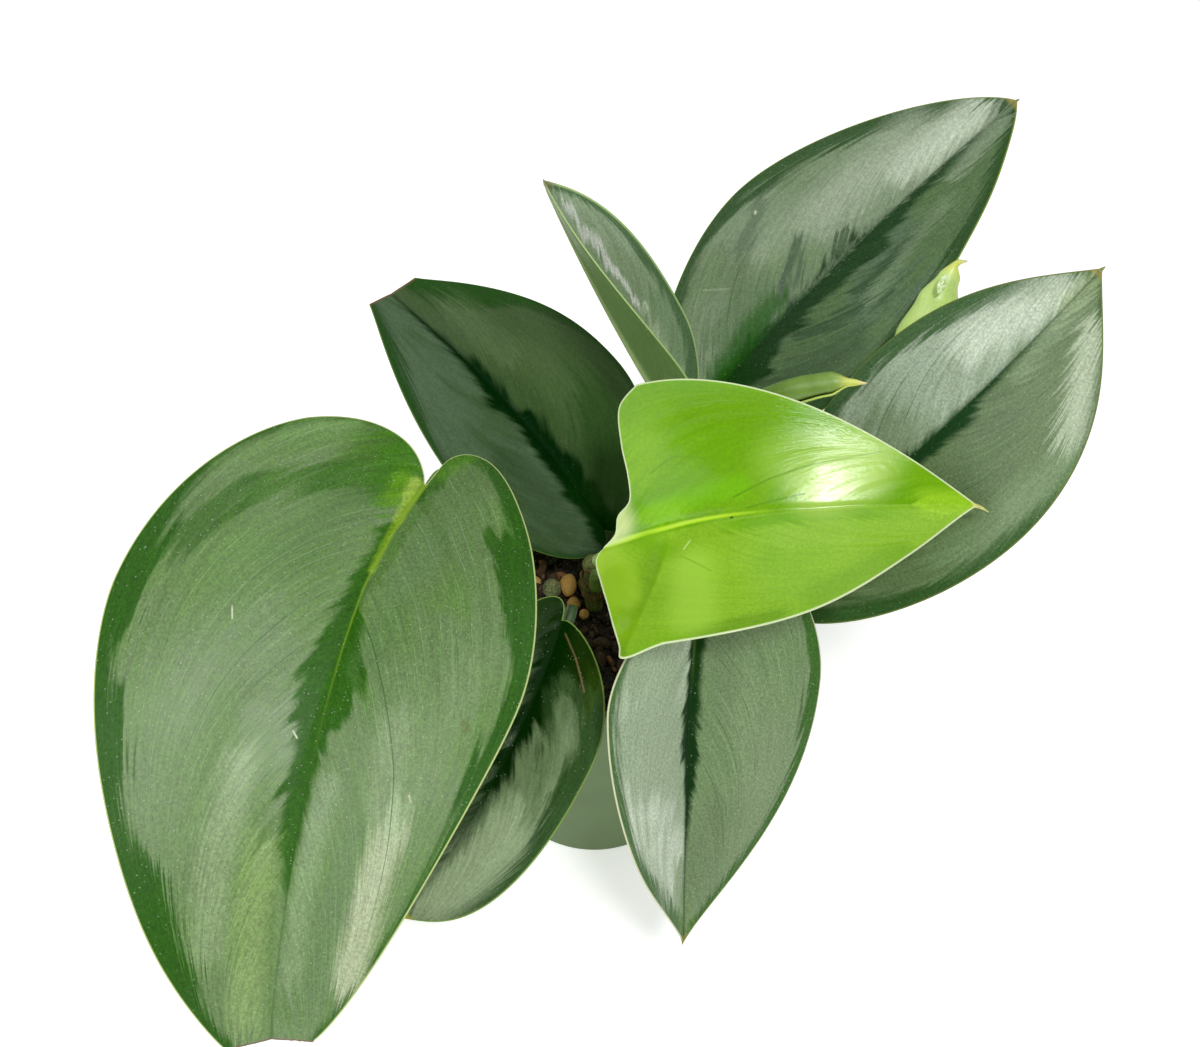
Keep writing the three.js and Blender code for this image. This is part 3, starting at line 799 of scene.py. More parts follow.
    satin = s.spread(grain, look["satin"] - 0.05, look["satin"] + 0.07)
    height = s.add(s.times(fibre, 0.6), s.times(grain, 0.7))
    return s.finish(color, s.blend(dark, satin, DARK_ROUGHNESS), s.bump(height, 0.14, 0.7),
                    specular=s.blend(dark, look["shine"], look["dull"]))


# The young leaf. Feathered strokes and plain lines, each from one place (x, d) to another with a
# reach, in millimetres, an 8-bit sRGB tone and a strength
LIME_STROKES = [
    ((24, 14), (80, 22), 14, (104, 158, 0), 0.8), ((18, 35), (48, 30), 10, (104, 152, 0), 0.6),
    ((17, 20), (21, 32), 8, (114, 166, 4), 0.6), ((14, 17), (17, 26), 7, (122, 174, 0), 0.6),
    ((16, 6), (40, 9), 5, (112, 178, 0), 0.9), ((14, 5), (22, 5), 5, (128, 188, 0), 0.7),
    ((52, -8), (66, -9), 7, (150, 194, 62), 0.4), ((56, -28), (80, -16), 6, (112, 162, 20), 0.7),
    ((26, -38), (46, -34), 4, (102, 150, 20), 0.7), ((90, 0), (100, 0), 6, (158, 206, 40), 0.7),
]
# Some plain lines are painted light and shade: a painted highlight and its glow on the left half toward
# the tip, and the lit and the shaded sides of the fold in the right lobe's flap.
LIME_LINES = [
    ((1, -4), (6, -20), 8, (170, 212, 60), 0.6), ((4, -12), (7, -32), 7, (126, 172, 0), 0.6),
    ((25, -14), (25, -32), 10, (160, 206, 66), 0.7), ((62, 6), (72, 10), 14, (196, 226, 110), 0.6),
    ((52, 14), (82, 20), 12, (150, 192, 60), 0.5), ((13, -1.5), (18, -6), 5, (110, 170, 0), 0.5),
    ((38, 6), (48, 9.6), 0.4, (84, 136, 0), 0.7), ((48, 9.6), (60, 12.4), 0.4, (88, 140, 0), 0.7),
    ((60, 12.4), (78, 14.4), 0.4, (104, 150, 20), 0.5),
    ((41, 2.6), (57, 4.6), 0.4, (84, 138, 0), 0.7), ((17, 17), (24, 20), 0.4, (88, 140, 0), 0.6),
    ((24, 20), (32, 18), 0.4, (88, 140, 0), 0.4), ((22, 26), (32, 31), 0.4, (92, 144, 4), 0.4),
    ((22, -9), (30, -16), 0.35, (106, 156, 20), 0.5),
    ((23, -7), (25, -4.6), 0.3, (214, 234, 150), 0.7),
    ((36.6, 0.6), (36.9, 0.7), 0.5, (30, 50, 10), 0.9),
    ((38, -4), (44, -7), 0.35, (100, 154, 0), 0.5),
]


def lime_material(leaf):
    """Glossy lime green, darker on the left half, with painted shade beside a crease in the right lobe.
    """
    s = Shader("lime blade")
    x, d, margin = s.split(s.attribute("leaf_place"))
    vein, face, end = s.split(s.attribute("leaf_vein"))
    out = s.absolute(d)
    t = s.times(x, 1 / leaf["length"])
    seeded = s.vector(x, d, leaf["seed"])
    slow = s.noise(seeded, scale=0.04, detail=2.0)
    cells = s.noise(seeded, scale=1.2, detail=3.0, roughness=0.65)
    along_veins = s.vector(s.times(vein, 0.5), s.times(x, 0.05), leaf["seed"])
    fibre = s.noise(along_veins, detail=4.0, roughness=0.65)
    upper = s.mix(s.patches(slow), srgb(98, 156, 0), srgb(112, 166, 4))
    lower = s.mix(s.patches(slow), srgb(122, 174, 24), srgb(134, 182, 36))
    color = s.mix(s.step(d, -0.3, 0.3), lower, upper)
    place = s.vector(s.add(x, s.spread(fibre, -3.0, 3.0)), s.add(d, s.spread(cells, -0.6, 0.6)))
    color = s.strokes(color, place, LIME_STROKES)
    # Painted shade: the flap beside the crease in the right lobe is painted darker
    crease = s.minus(x, s.line(d, -38.0, -3.0, 8.2, 19.0))
    shade = s.times(s.step(crease, 0.7, -0.7), s.step(crease, -9.0, -1.5))
    shade = s.times(shade, s.step(d, -1.0, -5.0))
    color = s.mix(s.times(shade, 0.65), color, srgb(96, 142, 0))
    strip = s.times(s.step(d, 0.1, -0.5), s.step(s.add(out, s.spread(fibre, -1.5, 1.5)), 5.0, 3.0))
    strip = s.times(strip, s.times(s.step(x, 28.0, 42.0), s.step(x, 84.0, 70.0)))
    color = s.mix(s.times(strip, 0.9), color, srgb(106, 166, 0))
    color = s.shaded(color, s.times(s.spread(fibre, 0.93, 1.07), s.spread(cells, 0.88, 1.12)))

    off = s.absolute(s.minus(d, s.drift(leaf, x)))
    rib = s.step(s.minus(off, s.line(t, 0.0, 0.5, 0.7, 0.1)), 0.5, -0.3)
    color = s.mix(s.times(rib, s.step(t, 0.52, 0.3)), color, srgb(180, 222, 44))
    flat = s.vector(x, d)
    color = s.strokes(color, flat, LIME_LINES)
    lip = s.times(s.stroke(flat, (2, 3), (8, 8), 8), s.step(s.add(x, s.times(d, 0.3)), 15.0, 8.5))
    lip = s.times(lip, s.step(d, -0.4, 0.6))
    color = s.mix(s.times(lip, s.line(fibre, 0.35, 0.65, 0.8, 1.0)), color, srgb(204, 220, 150))
    color = s.mix(s.step(face, 0.4, 0.6), srgb(158, 190, 96), color)
    color = s.mix(s.step(margin, 0.5, 0.2), color, srgb(206, 222, 170))
    color = s.mix(s.step(end, 2.0, 0.5), color, srgb(214, 214, 120))
    height = s.add(s.times(fibre, 0.8), s.times(cells, 0.35))
    return s.finish(color, 0.17, s.bump(height, 0.14, 0.45), specular=0.27)


def stalk_material(name, light, dark):
    s = Shader(name)
    along, around, _ = s.split(s.attribute("tube_place"))
    drawn_out = s.vector(s.times(along, 0.08), s.times(around, 2.2), 1.0)
    streak = s.noise(drawn_out, detail=4.0, roughness=0.6)
    color = s.mix(s.patches(streak), srgb(*dark), srgb(*light))
    return s.finish(color, 0.42, s.bump(streak, 0.15, 0.5))


def vine_material():
    s = Shader("vine bark")
    place = s.place()
    grain = s.noise(place, scale=0.8, detail=4.0, roughness=0.6)
    color = s.mix(s.patches(grain), srgb(96, 112, 54), srgb(138, 146, 82))
    spots = s.noise(place, scale=0.35, detail=2.0)
    color = s.mix(s.times(s.step(spots, 0.52, 0.62), 0.7), color, srgb(142, 116, 70))
    return s.finish(color, 0.6, s.bump(grain, 0.3, 0.6))


def sheath_material():
    s = Shader("dry sheath")
    upright = s.vector_math("MULTIPLY", s.place(), (1.0, 1.0, 0.12))[0]
    fibre = s.noise(upright, scale=1.6, detail=4.0, roughness=0.65)
    color = s.mix(s.patches(fibre), srgb(96, 74, 44), srgb(176, 148, 100))
    return s.finish(color, 0.75, s.bump(fibre, 0.2, 0.7))


def shoot_material(name, light, dark):
    s = Shader(name)
    along, around, edge = s.split(s.attribute("tube_place"))
    place = s.place()
    fibre = s.noise(s.vector(s.times(along, 0.06), s.times(around, 3.0), 2.0), detail=3.0)
    cells = s.noise(place, scale=1.0, detail=3.0)
    soft = s.noise(place, scale=0.08, detail=2.0)
    color = s.mix(s.patches(soft), srgb(*dark), srgb(*light))
    color = s.mix(s.spread(fibre, 0.0, 0.25), color, srgb(118, 154, 56))
    color = s.shaded(color, s.spread(cells, 0.94, 1.06))
    color = s.mix(s.step(edge, 1.0, 0.4), color, srgb(200, 222, 110))
    left = s.split(s.attribute("tube_end"))[0]
    color = s.mix(s.step(left, 9.0, 4.0), color, srgb(206, 216, 104))
    color = s.mix(s.step(left, 3.0, 0.5), color, srgb(226, 212, 150))
    return s.finish(color, 0.36, s.bump(cells, 0.08, 0.5))


def drop_material():
    s = Shader("water drop")
    ripple = s.noise(s.place(), scale=0.9, detail=2.0)
    color = s.mix(s.step(ripple, 0.4, 0.6), srgb(170, 202, 120), srgb(214, 230, 180))
    return s.finish(color, 0.06, s.bump(ripple, 0.4, 0.8), specular=0.7)


def point_material(name, tone):
    s = Shader(name)
    grain = s.noise(s.place(), scale=1.5, detail=2.0)
    color = s.mix(s.patches(grain), srgb(*tone), srgb(*(0.86 * np.array(tone))))
    return s.finish(color, 0.45, s.bump(grain, 0.05, 0.5))


def soil_material():
    """Bark from dark to tan, and pebbles from green and ochre to a pale brown."""
    s = Shader("bark mix")
    place = s.place()
    tone, kind, _ = s.split(s.attribute("grain"))
    grain = s.noise(place, scale=1.1, detail=5.0, roughness=0.7)
    color = s.mix(tone, srgb(22, 19, 12), srgb(84, 62, 42))
    color = s.mix(s.step(tone, 0.82, 0.95), color, srgb(128, 84, 46))
    color = s.mix(s.times(s.step(grain, 0.54, 0.68), 0.7), color, srgb(128, 102, 74))
    stone = s.mix(s.line(tone, 0.05, 0.3), srgb(92, 112, 74), srgb(150, 132, 50))
    stone = s.mix(s.line(tone, 0.15, 0.4), stone, srgb(206, 156, 78))
    stone = s.mix(s.line(tone, 0.6, 0.9), stone, srgb(196, 160, 118))
    stone = s.mix(s.times(s.step(grain, 0.42, 0.66), 0.45), stone, srgb(226, 192, 130))
    color = s.mix(kind, color, stone)
    return s.finish(color, 0.85, s.bump(grain, 0.5, 0.8))


def pot_material():
    s = Shader("pot plastic")
    place = s.place()
    fine = s.noise(place, scale=2.2, detail=3.0)
    slow = s.noise(place, scale=0.03, detail=2.0)
    color = s.mix(s.step(slow, 0.3, 0.7), srgb(84, 110, 60), srgb(95, 121, 70))
    return s.finish(color, s.spread(fine, 0.5, 0.58), s.bump(fine, 0.02, 0.5))


FLOOR_GLOW = 0.5


def floor_material():
    """A white light table."""
    s = Shader("pale floor")
    grain = s.noise(s.place(), scale=0.02, detail=2.0)
    color = s.mix(grain, (0.9, 0.9, 0.9, 1.0), (0.94, 0.94, 0.94, 1.0))
    return s.finish(color, 0.9, glow=FLOOR_GLOW)


# Tubes
def tube(places, wide, thin, radii, sides=24, flatness=1.0, groove=0.0):
    """Rings round a curve. groove is the depth of a channel on the thin side, over the radius."""
    angle = np.linspace(0, 2 * math.pi, sides, endpoint=False)
    off = np.angle(np.exp(1j * (angle - math.pi / 2)))
    shape = 1 - groove * np.exp(-((off / CHANNEL_WIDTH) ** 2))
    across = (radii[:, None] * shape * np.cos(angle))[..., None]
    depth = (radii[:, None] * shape * flatness * np.sin(angle))[..., None]
    return places[:, None] + across * wide[:, None] + depth * thin[:, None], angle


def capped(rings):
    """Points and faces of a tube that is closed with a point at each end."""
    rows, sides, _ = rings.shape
    points = np.vstack([rings.reshape(-1, 3), rings[0].mean(0), rings[-1].mean(0)])
    faces = grid_faces(rows, sides, closed=True)
    start, end = rows * sides, rows * sides + 1
    for j in range(sides):
        k = (j + 1) % sides
        faces.append((start, k, j))
        faces.append((end, (rows - 1) * sides + j, (rows - 1) * sides + k))
    return points, faces


def stalk_line(name):
    """The middle line of a stalk, from beside its vine to the underside of its blade."""
    leaf, way = LEAVES[name], STALKS[name]
    beside = VINE_RADIUS + STALK_BASE_RADIUS + 2 * GAP
    axis = VINES[way["vine"]]["foot"]
    start = np.array([*axis, way["node"]]) + beside * heading(way["out"])
    sheath_top = start + heading(way["out"]) + (0, 0, SHEATH_HEIGHT)
    along, _, up = (direction[0] for direction in midrib_frame(leaf, np.zeros(1)))
    base = np.array(leaf["base"])
    end = base + along * KNEE_RADIUS - up * (BLADE_THICKNESS + KEEL_THICKNESS + GAP)
    bend = base + along * way["knee"][0] + up * way["knee"][1]
    return spline_through([start, sheath_top, *way["via"], bend, end - KNEE_RISE * up, end])


def stalk(name, material):
    """A stalk that tapers to its slim part and thickens again to the knee under the blade."""
    places, tangents = spaced(stalk_line(name), STALK_STEPS)
    wide, thin = carried_frames(tangents, heading(STALKS[name]["out"] + 90))
    t = np.linspace(0, 1, len(places))
    radii = mix((STALK_BASE_RADIUS, STALK_RADIUS), np.clip(t / TAPER_END, 0, 1))
    knee = mix((STALK_RADIUS, KNEE_RADIUS), (t - KNEE_START) / (1 - KNEE_START))
    radii = np.where(t > KNEE_START, knee, radii)
    rings, angle = tube(places, wide, thin, radii, groove=STALK_GROOVE)
    along = np.repeat(t * np.linalg.norm(np.diff(places, axis=0), axis=1).sum(), len(angle))
    place = np.stack([along, np.tile(np.abs(angle - math.pi), len(places)), np.zeros(len(along))], -1)
    place = np.vstack([place, place[0], place[-1]])
    add_piece(f"stalk_skin_{name}", *capped(rings), material, "stalk", f"stalk_{name}",
              {"tube_place": place})


def vine(name, shape, material, dry):
    """An upright stem that swells at each node, with a sharp scar there, and has a rounded top."""
    foot = shape["foot"]
    z = np.linspace(VINE_FOOT, shape["top"], VINE_STEPS)
    places = np.stack([np.full_like(z, foot[0]), np.full_like(z, foot[1]), z], -1)
    swelling = sum(NODE_SWELLING * np.exp(-(((z - at) / NODE_REACH) ** 2)) for at in shape["nodes"])
    scars = sum(SCAR_HEIGHT * np.exp(-(((z - at - SCAR_OFFSET) / SCAR_HEIGHT) ** 2))
                for at in shape["nodes"])
    top = np.sqrt(np.clip((shape["top"] + 0.01 - z) / VINE_TOP_ROUNDING, 0, 1))
    radii = (VINE_RADIUS - STEM_SLIMMER + swelling + scars) * top
    tangents = np.tile([0.0, 0.0, 1.0], (len(z), 1))
    wide, thin = carried_frames(tangents, np.array([1.0, 0.0, 0.0]))
    rings, _ = tube(places, wide, thin, radii, sides=32)
    add_piece(f"stem_{name}", *capped(rings), material, "stem", f"vine_{name}")
    sheaths(name, shape, dry)


# The remains of old sheaths: how far they go round the stem in radians, their height, how far they
# stand off the stem at their foot and how much more at their top, in millimetres
REMAINS_SPAN = (2.2, 3.6)
REMAINS_HEIGHT = (3.0, 5.5)
REMAINS_OFF = 0.55
REMAINS_FLARE = 0.5
REMAINS_THICKNESS = 0.25
REMAINS_COLUMNS = 40
REMAINS_ROWS = 9


def sheaths(name, shape, material):
    """Dry, ragged remains of old sheaths round the stem, one above each node."""
    draw = np.random.default_rng(len(name))
    columns, rows = REMAINS_COLUMNS, REMAINS_ROWS
    points, faces = [], []
    for at in shape["nodes"]:
        span = draw.uniform(*REMAINS_SPAN)
        turn = draw.uniform(0, 2 * math.pi)
        height = draw.uniform(*REMAINS_HEIGHT)
        around = np.linspace(0, span, columns) + turn
        ragged = height * np.sin(np.linspace(0.15, math.pi - 0.15, columns)) ** 0.5
        ragged *= 1 - 0.35 * draw.random(columns)
        inner = len(points)
        for skin in (0.0, REMAINS_THICKNESS):
            faces += grid_faces(rows, columns, offset=len(points))
            for row in range(rows):
                rise = row / (rows - 1)
                radius = VINE_RADIUS + REMAINS_OFF + REMAINS_FLARE * rise ** 2 + skin
                for angle, top in zip(around, ragged):
                    points.append((shape["foot"][0] + radius * math.cos(angle),
                                   shape["foot"][1] + radius * math.sin(angle), at + rise * top))
        faces += edge_faces(rows, columns, inner, inner + rows * columns)
    add_piece(f"sheath_remains_{name}", points, faces, material, "stem")


# Rolled shoots: the way that their broad side faces, how often the sheet goes round, its thickness
# in millimetres and the most of the radius that it may take
ROLL_FACES = np.array([0.0, -1.0, 1.0]) / math.sqrt(2)
ROLL_TURNS = 1.35
SHEET = 0.45
SHEET_SHARE = 0.35
SHOOT_STEPS = 110
SHOOT_SIDES = 72
SPAN_STEPS = 40


def shoot(name, shape, material):
    """A rolled leaf: a thin sheet that winds round its path a little more than once."""
    steps, sides = SHOOT_STEPS, SHOOT_SIDES
    line = spline_through(shape["path"], per_span=SPAN_STEPS)
    lengths = np.concatenate([[0], np.cumsum(np.linalg.norm(np.diff(line, axis=0), axis=1))])
    knots = lengths[::SPAN_STEPS] / lengths[-1]
    places, tangents = spaced(line, steps)
    t = np.linspace(0, 1, steps)
    span = np.clip(np.searchsorted(knots, t) - 1, 0, len(knots) - 2)
    within = smooth_step(0, 1, (t - knots[span]) / (knots[span + 1] - knots[span]))
    radius = np.array(shape["radius"])
    radii = mix((radius[span], radius[span + 1]), within)
    wide, thin = sweep_frames(tangents, ROLL_FACES)
    flat = np.where(radii < 2, 1.0, shape["flatness"])
    turn = np.linspace(0, 2 * math.pi * ROLL_TURNS, sides)
    start = math.radians(shape["slit"])
    shrink = 1 - shape["loose"] * (1 - turn / turn[-1])
    outer = radii[:, None] * shrink
    inner = np.maximum(outer - np.minimum(SHEET, SHEET_SHARE * outer), 0.02)
    surfaces = []
    for reach in (outer, inner):
        across = (reach * np.cos(turn + start))[..., None]
        depth = (reach * np.sin(turn + start) * flat[:, None])[..., None]
        surface = places[:, None] + across * wide[:, None] + depth * thin[:, None]
        surfaces.append(surface.reshape(-1, 3))
    count = steps * sides
    faces = (grid_faces(steps, sides) + grid_faces(steps, sides, offset=count)
             + edge_faces(steps, sides, 0, count))
    along = np.repeat(t * lengths[-1], sides)
    around = np.tile(turn, steps)
    edge = np.repeat(radii, sides) * np.minimum(around, turn[-1] - around)
    place = np.stack([along, around, edge], -1)
    left = np.repeat((1 - t) * lengths[-1], sides)
    attributes = {"tube_place": np.vstack([place] * 2), "tube_end": np.tile(left[:, None], (2, 3))}
    add_piece(f"rolled_{name}", np.vstack(surfaces), faces, material, "shoot", name, attributes)


# The water drop: its place and half-sizes in millimetres and its long way. It hangs 4 mm off the
# furled leaf, toward the camera, and doesn't touch it.
DROP_PLACE = (100.2, 30.6, 195.6)
DROP_SIZE = (1.3, 3.0, 0.4)
DROP_WAY = (0.35, 0.6, 0.72)


def drop(material):
    points, faces = icosphere(3)
    along = unit(np.array(DROP_WAY))
    out = unit(ROLL_FACES - along * np.dot(ROLL_FACES, along))
    across = np.cross(along, out)
    wobble = 1 + 0.1 * np.sin(5 * points[:, :1] + 2) * np.sin(4 * points[:, 1:2])
    local = points * wobble * DROP_SIZE
    points = np.array(DROP_PLACE) + local[:, :1] * across + local[:, 1:2] * along + local[:, 2:] * out
    add_piece("water_drop", points, faces, material, "shoot")


# The small point at the tip of a whole leaf: how far inside and below the blade's face it starts,
# and its radii, in millimetres
POINT_ROOT = 1.2
POINT_DEPTH = 0.35
POINT_RADIUS = 0.62
POINT_END_RADIUS = 0.1
POINT_STEPS = 14


def mucro(name, leaf, material):
    """A small tapered point that goes on from the midrib and bends down."""
    reach, bend = leaf["mucro"]
    end = np.array([float(leaf["length"])])
    along, left, up = (way[0] for way in midrib_frame(leaf, end))
    tip = midrib_point(leaf, end)[0]
    t = np.linspace(0, 1, POINT_STEPS)[:, None]
    start = tip - along * POINT_ROOT - up * POINT_DEPTH
    line = start + (reach + POINT_ROOT) * t * along + bend * t ** 2 * (-up * 0.4 - left)
    radii = POINT_RADIUS * (1 - t[:, 0]) ** 0.8 + POINT_END_RADIUS
    places, tangents = spaced(line, POINT_STEPS)
    wide, thin = carried_frames(tangents, left)
    rings, _ = tube(places, wide, thin, radii, sides=12, flatness=0.7)
    add_piece(f"point_{name}", *capped(rings), material, leaf_slot(name))


# Mix. A pebble has its middle and its half-sizes in millimetres. Its tone runs from green over
# ochre to pale brown.
PEBBLES = [
    dict(at=(-8.4, 17.6, 82.4), size=(2.9, 4.8, 2.8), tone=0.4),
    dict(at=(-13.9, 16.6, 81.6), size=(3.3, 4.0, 2.8), tone=0.0),
    dict(at=(-6.6, 9.4, 82.0), size=(2.3, 2.6, 2.2), tone=0.5),
    dict(at=(-3.2, 5.4, 81.6), size=(1.7, 1.9, 1.7), tone=0.45),
    dict(at=(-7.6, 5.4, 81.4), size=(1.3, 1.5, 1.2), tone=0.95),
    dict(at=(-2.2, 18.6, 81.6), size=(3.2, 3.4, 2.4), tone=0.15),
    dict(at=(-20, 20, 81.4), size=(2.4, 2.0, 1.8), tone=0.7),
]
# Bark chunks: how many are tried, their least half-size and how much larger they may be, their
# shape, and how far they stay from the wall
CHUNKS = 520
CHUNK_SIZE = 0.8
CHUNK_GROWTH = 2.2
CHUNK_SHAPE = (1.25, 0.85, 0.55)
CHUNK_RIM = 2.5
BED_RINGS = 60
BED_SIDES = 160


def wall_radius(height):
    """The outer radius of the pot's wall, without the lip."""
    return POT_BASE_RADIUS + (POT_TOP_RADIUS - LIP_WIDTH - POT_BASE_RADIUS) * height / POT_HEIGHT


def icosphere(subdivisions=2):
    work = bmesh.new()
    bmesh.ops.create_icosphere(work, subdivisions=subdivisions, radius=1)
    points = np.array([v.co[:] for v in work.verts])
    faces = [tuple(v.index for v in face.verts) for face in work.faces]
    work.free()
    return points, faces


def turn_matrix(draw):
    """A random rotation."""
    w, x, y, z = unit(draw.normal(size=4))
    return np.array([
        [1 - 2 * (y * y + z * z), 2 * (x * y - z * w), 2 * (x * z + y * w)],
        [2 * (x * y + z * w), 1 - 2 * (x * x + z * z), 2 * (y * z - x * w)],
        [2 * (x * z - y * w), 2 * (y * z + x * w), 1 - 2 * (x * x + y * y)]])


def level_ring(radius, angle, height):
    return np.stack([radius * np.cos(angle), radius * np.sin(angle), np.full(len(angle), height)], -1)


def soil_bed(inner):
    """A dark uneven bed that fills the pot."""
    angle = np.linspace(0, 2 * math.pi, BED_SIDES, endpoint=False)
    reach = np.linspace(0.02, 1, BED_RINGS)[:, None] * inner * 0.995
    x, y = reach * np.cos(angle), reach * np.sin(angle)
    lumps = (np.sin(0.9 * x + 1.3) * np.sin(0.8 * y)
             + 0.6 * np.sin(1.9 * x + 0.7 * y) * np.sin(2.1 * y - x)
             + 0.3 * np.sin(4.3 * x) * np.sin(3.9 * y + 1))
    z = SOIL_TOP - 0.6 + 0.7 * lumps * np.clip((inner - reach) / 2, 0, 1)
    side = [level_ring(wall_radius(height) - POT_WALL - GAP, angle, height)
            for height in (SOIL_TOP - 4, 40, POT_FLOOR + GAP)]
    return capped(np.concatenate([np.stack([x, y, z], -1), np.array(side)]))


def soil(material):
    """The mix: its bed with bark chunks and pebbles lying on it, away from the stems."""
    draw = np.random.default_rng(7)
    inner = wall_radius(SOIL_TOP) - POT_WALL - GAP
    bed_points, faces = soil_bed(inner)
    points = [bed_points]
    grain = [np.tile([0.05, 0.0, 0.0], (len(bed_points), 1))]
    ball, ball_faces = icosphere()

    def lay(at, size, tone, kind, rough, turn):
        offset = sum(len(p) for p in points)
        wobble = 1 + rough * draw.normal(size=(len(ball), 1)).clip(-1.5, 1.5)
        points.append((ball * wobble * size) @ turn.T + at)
        faces.extend(tuple(offset + k for k in face) for face in ball_faces)
        grain.append(np.tile([tone, kind, 0.0], (len(ball), 1)))

    golden = math.pi * (3 - math.sqrt(5))
    for i in range(CHUNKS):
        out = (inner - CHUNK_RIM) * math.sqrt((i + 0.5) / CHUNKS)
        big = draw.random() ** 3
        size = (CHUNK_SIZE + CHUNK_GROWTH * big) * np.array(CHUNK_SHAPE) * draw.uniform(0.8, 1.2, 3)
        angle = golden * i
        at = np.array([out * math.cos(angle), out * math.sin(angle), SOIL_TOP + 0.2 + 0.4 * big])
        clear = min(np.hypot(at[0] - v["foot"][0], at[1] - v["foot"][1]) for v in VINES.values())
        if clear < VINE_RADIUS + size.max():
            continue
        at = at + draw.normal(size=3) * (0.8, 0.8, 0.2)
        lay(at, size, draw.random(), 0.0, 0.12, turn_matrix(draw))
    for pebble in PEBBLES:
        lay(np.array(pebble["at"]), np.array(pebble["size"]), pebble["tone"], 1.0, 0.05, np.eye(3))
    add_piece("bark_mix", np.vstack(points), faces, material, "soil", "soil",
              {"grain": np.vstack(grain)})


# Pot
POT_SIDES = 160
HOLE_SIDES = 32


def lathe(profile, sides):
    """A solid turned round the upright axis, from a profile of radii and heights."""
    profile = np.array(profile, dtype=float)
    angle = np.linspace(0, 2 * math.pi, sides, endpoint=False)
    rings = np.stack([profile[:, :1] * np.cos(angle), profile[:, :1] * np.sin(angle),
                      np.repeat(profile[:, 1:], sides, axis=1)], -1)
    return capped(rings)


def rounded(corners, radius, steps=6):
    """A flat line through corners with each corner rounded off."""
    corners = [np.array(c, dtype=float) for c in corners]
    line = [corners[0]]
    for before, corner, after in zip(corners, corners[1:], corners[2:]):
        leg_a, leg_b = before - corner, after - corner
        r = min(radius, 0.45 * np.linalg.norm(leg_a), 0.45 * np.linalg.norm(leg_b))
        start, end = corner + unit(leg_a) * r, corner + unit(leg_b) * r
        for t in np.linspace(0, 1, steps):
            line.append(start * (1 - t) ** 2 + 2 * corner * t * (1 - t) + end * t ** 2)
    return line + [corners[-1]]


def pot(material):
    """A thin tapered cup with a lip. Its drain holes are cut through the floor."""
    lip = POT_HEIGHT - LIP_HEIGHT
    inside = wall_radius(POT_HEIGHT) - POT_WALL
    profile = rounded([
        (0.01, 0.0), (POT_BASE_RADIUS - 4, 0.0), (POT_BASE_RADIUS - 0.8, 0.0), (POT_BASE_RADIUS, 1.6),
        (wall_radius(lip - 2), lip - 2), (POT_TOP_RADIUS - 0.3, lip), (POT_TOP_RADIUS, POT_HEIGHT - 1),
        (POT_TOP_RADIUS - 0.4, POT_HEIGHT), (inside, POT_HEIGHT), (inside - 0.3, POT_HEIGHT - 2),
        (wall_radius(POT_FLOOR) - POT_WALL, POT_FLOOR), (0.01, POT_FLOOR)], 0.5)
    piece = add_piece("pot_wall", *lathe(profile, POT_SIDES), material, "pot", "pot")
    holes = bpy.data.collections.new("holes")
    for i in range(DRAIN_HOLES):
        angle = 2 * math.pi * i / DRAIN_HOLES
        bpy.ops.mesh.primitive_cylinder_add(
            vertices=HOLE_SIDES, radius=DRAIN_RADIUS * MM, depth=4 * POT_FLOOR * MM,
            location=(DRAIN_RING * math.cos(angle) * MM, DRAIN_RING * math.sin(angle) * MM, 0))
        holes.objects.link(bpy.context.active_object)
    cut = piece.modifiers.new("holes", "BOOLEAN")
    cut.operand_type = "COLLECTION"
    cut.collection = holes
    cut.solver = "EXACT"
    graph = bpy.context.evaluated_depsgraph_get()
    mesh = bpy.data.meshes.new_from_object(piece.evaluated_get(graph))
    piece.modifiers.clear()
    piece.data = mesh
    for cutter in list(holes.objects):
        bpy.data.objects.remove(cutter)
    bpy.data.collections.remove(holes)


# How each leaf looks. Pairs are for the left and the right half, and a place (x, d) lies x along the
# midrib from the stalk and d out to the left, in millimetres.
# Relief: quilt is the height of the quilting, wave of the slow wave, and folds are lines with a
# width and a height. notch keeps the lobes' edges that far from the middle line behind the stalk.
# drift moves the midrib sideways: how far, and from where to where along it. mucro is the reach and
# the bend of the small point at the tip. seed shifts the noises.
# Tones: silver for the field, green for its greener patches, deep for the dark band at the midrib,
# base for that band near the stalk, margin for the dark margin, under for the underside. Where the
# two halves' silver differs, that is partly painted light and shade: the half that catches the light
# or its sheen is painted lighter.
# band is the dark band's reach from the midrib and edge the dark margin's width, each a number or
# (place along the midrib, width) points. teeth is how far the band's border is feathered, edge_range
# how the margin's width varies, soft how soft both borders are, edge_strength how dark the margin is.
# ghost, threads and dust are how strongly dark streaks, pale threads and specks show, and dust also
# how strongly the painted glints show; contrast and grit are how much the fibres and the fine grain
# vary. rib is the pale midrib's half-width, rib_base how much wider it is at the stalk, rib_fade
# where it fades out, line how dark it goes on from there.
# rim is the width of the pale rim. satin is the roughness of the silver, shine and dull the specular
# levels of the silver and of the dark.
# strokes are feathered and marks plain, each from one place to another with a reach, a tone and a
# strength. veins are thin dark lines: a side, a vein's number, the stretch of x and a strength.
LOOK = dict(
    under=(128, 152, 92), teeth=2.5, edge_range=(0.6, 1.4), soft=0.8, ghost=0.25, edge_strength=0.9,
    contrast=0.08, threads=0.1, rib=0.5, rib_base=0.8, rib_color=(90, 120, 50), rib_fade=(0.1, 0.35),
    rim=0.35, rim_color=(160, 178, 110), satin=0.42, shine=0.6, dull=0.1, dust=0.6, grit=0.24,
    line=0.6, tip=(150, 140, 70), strokes=(), marks=(), veins=())
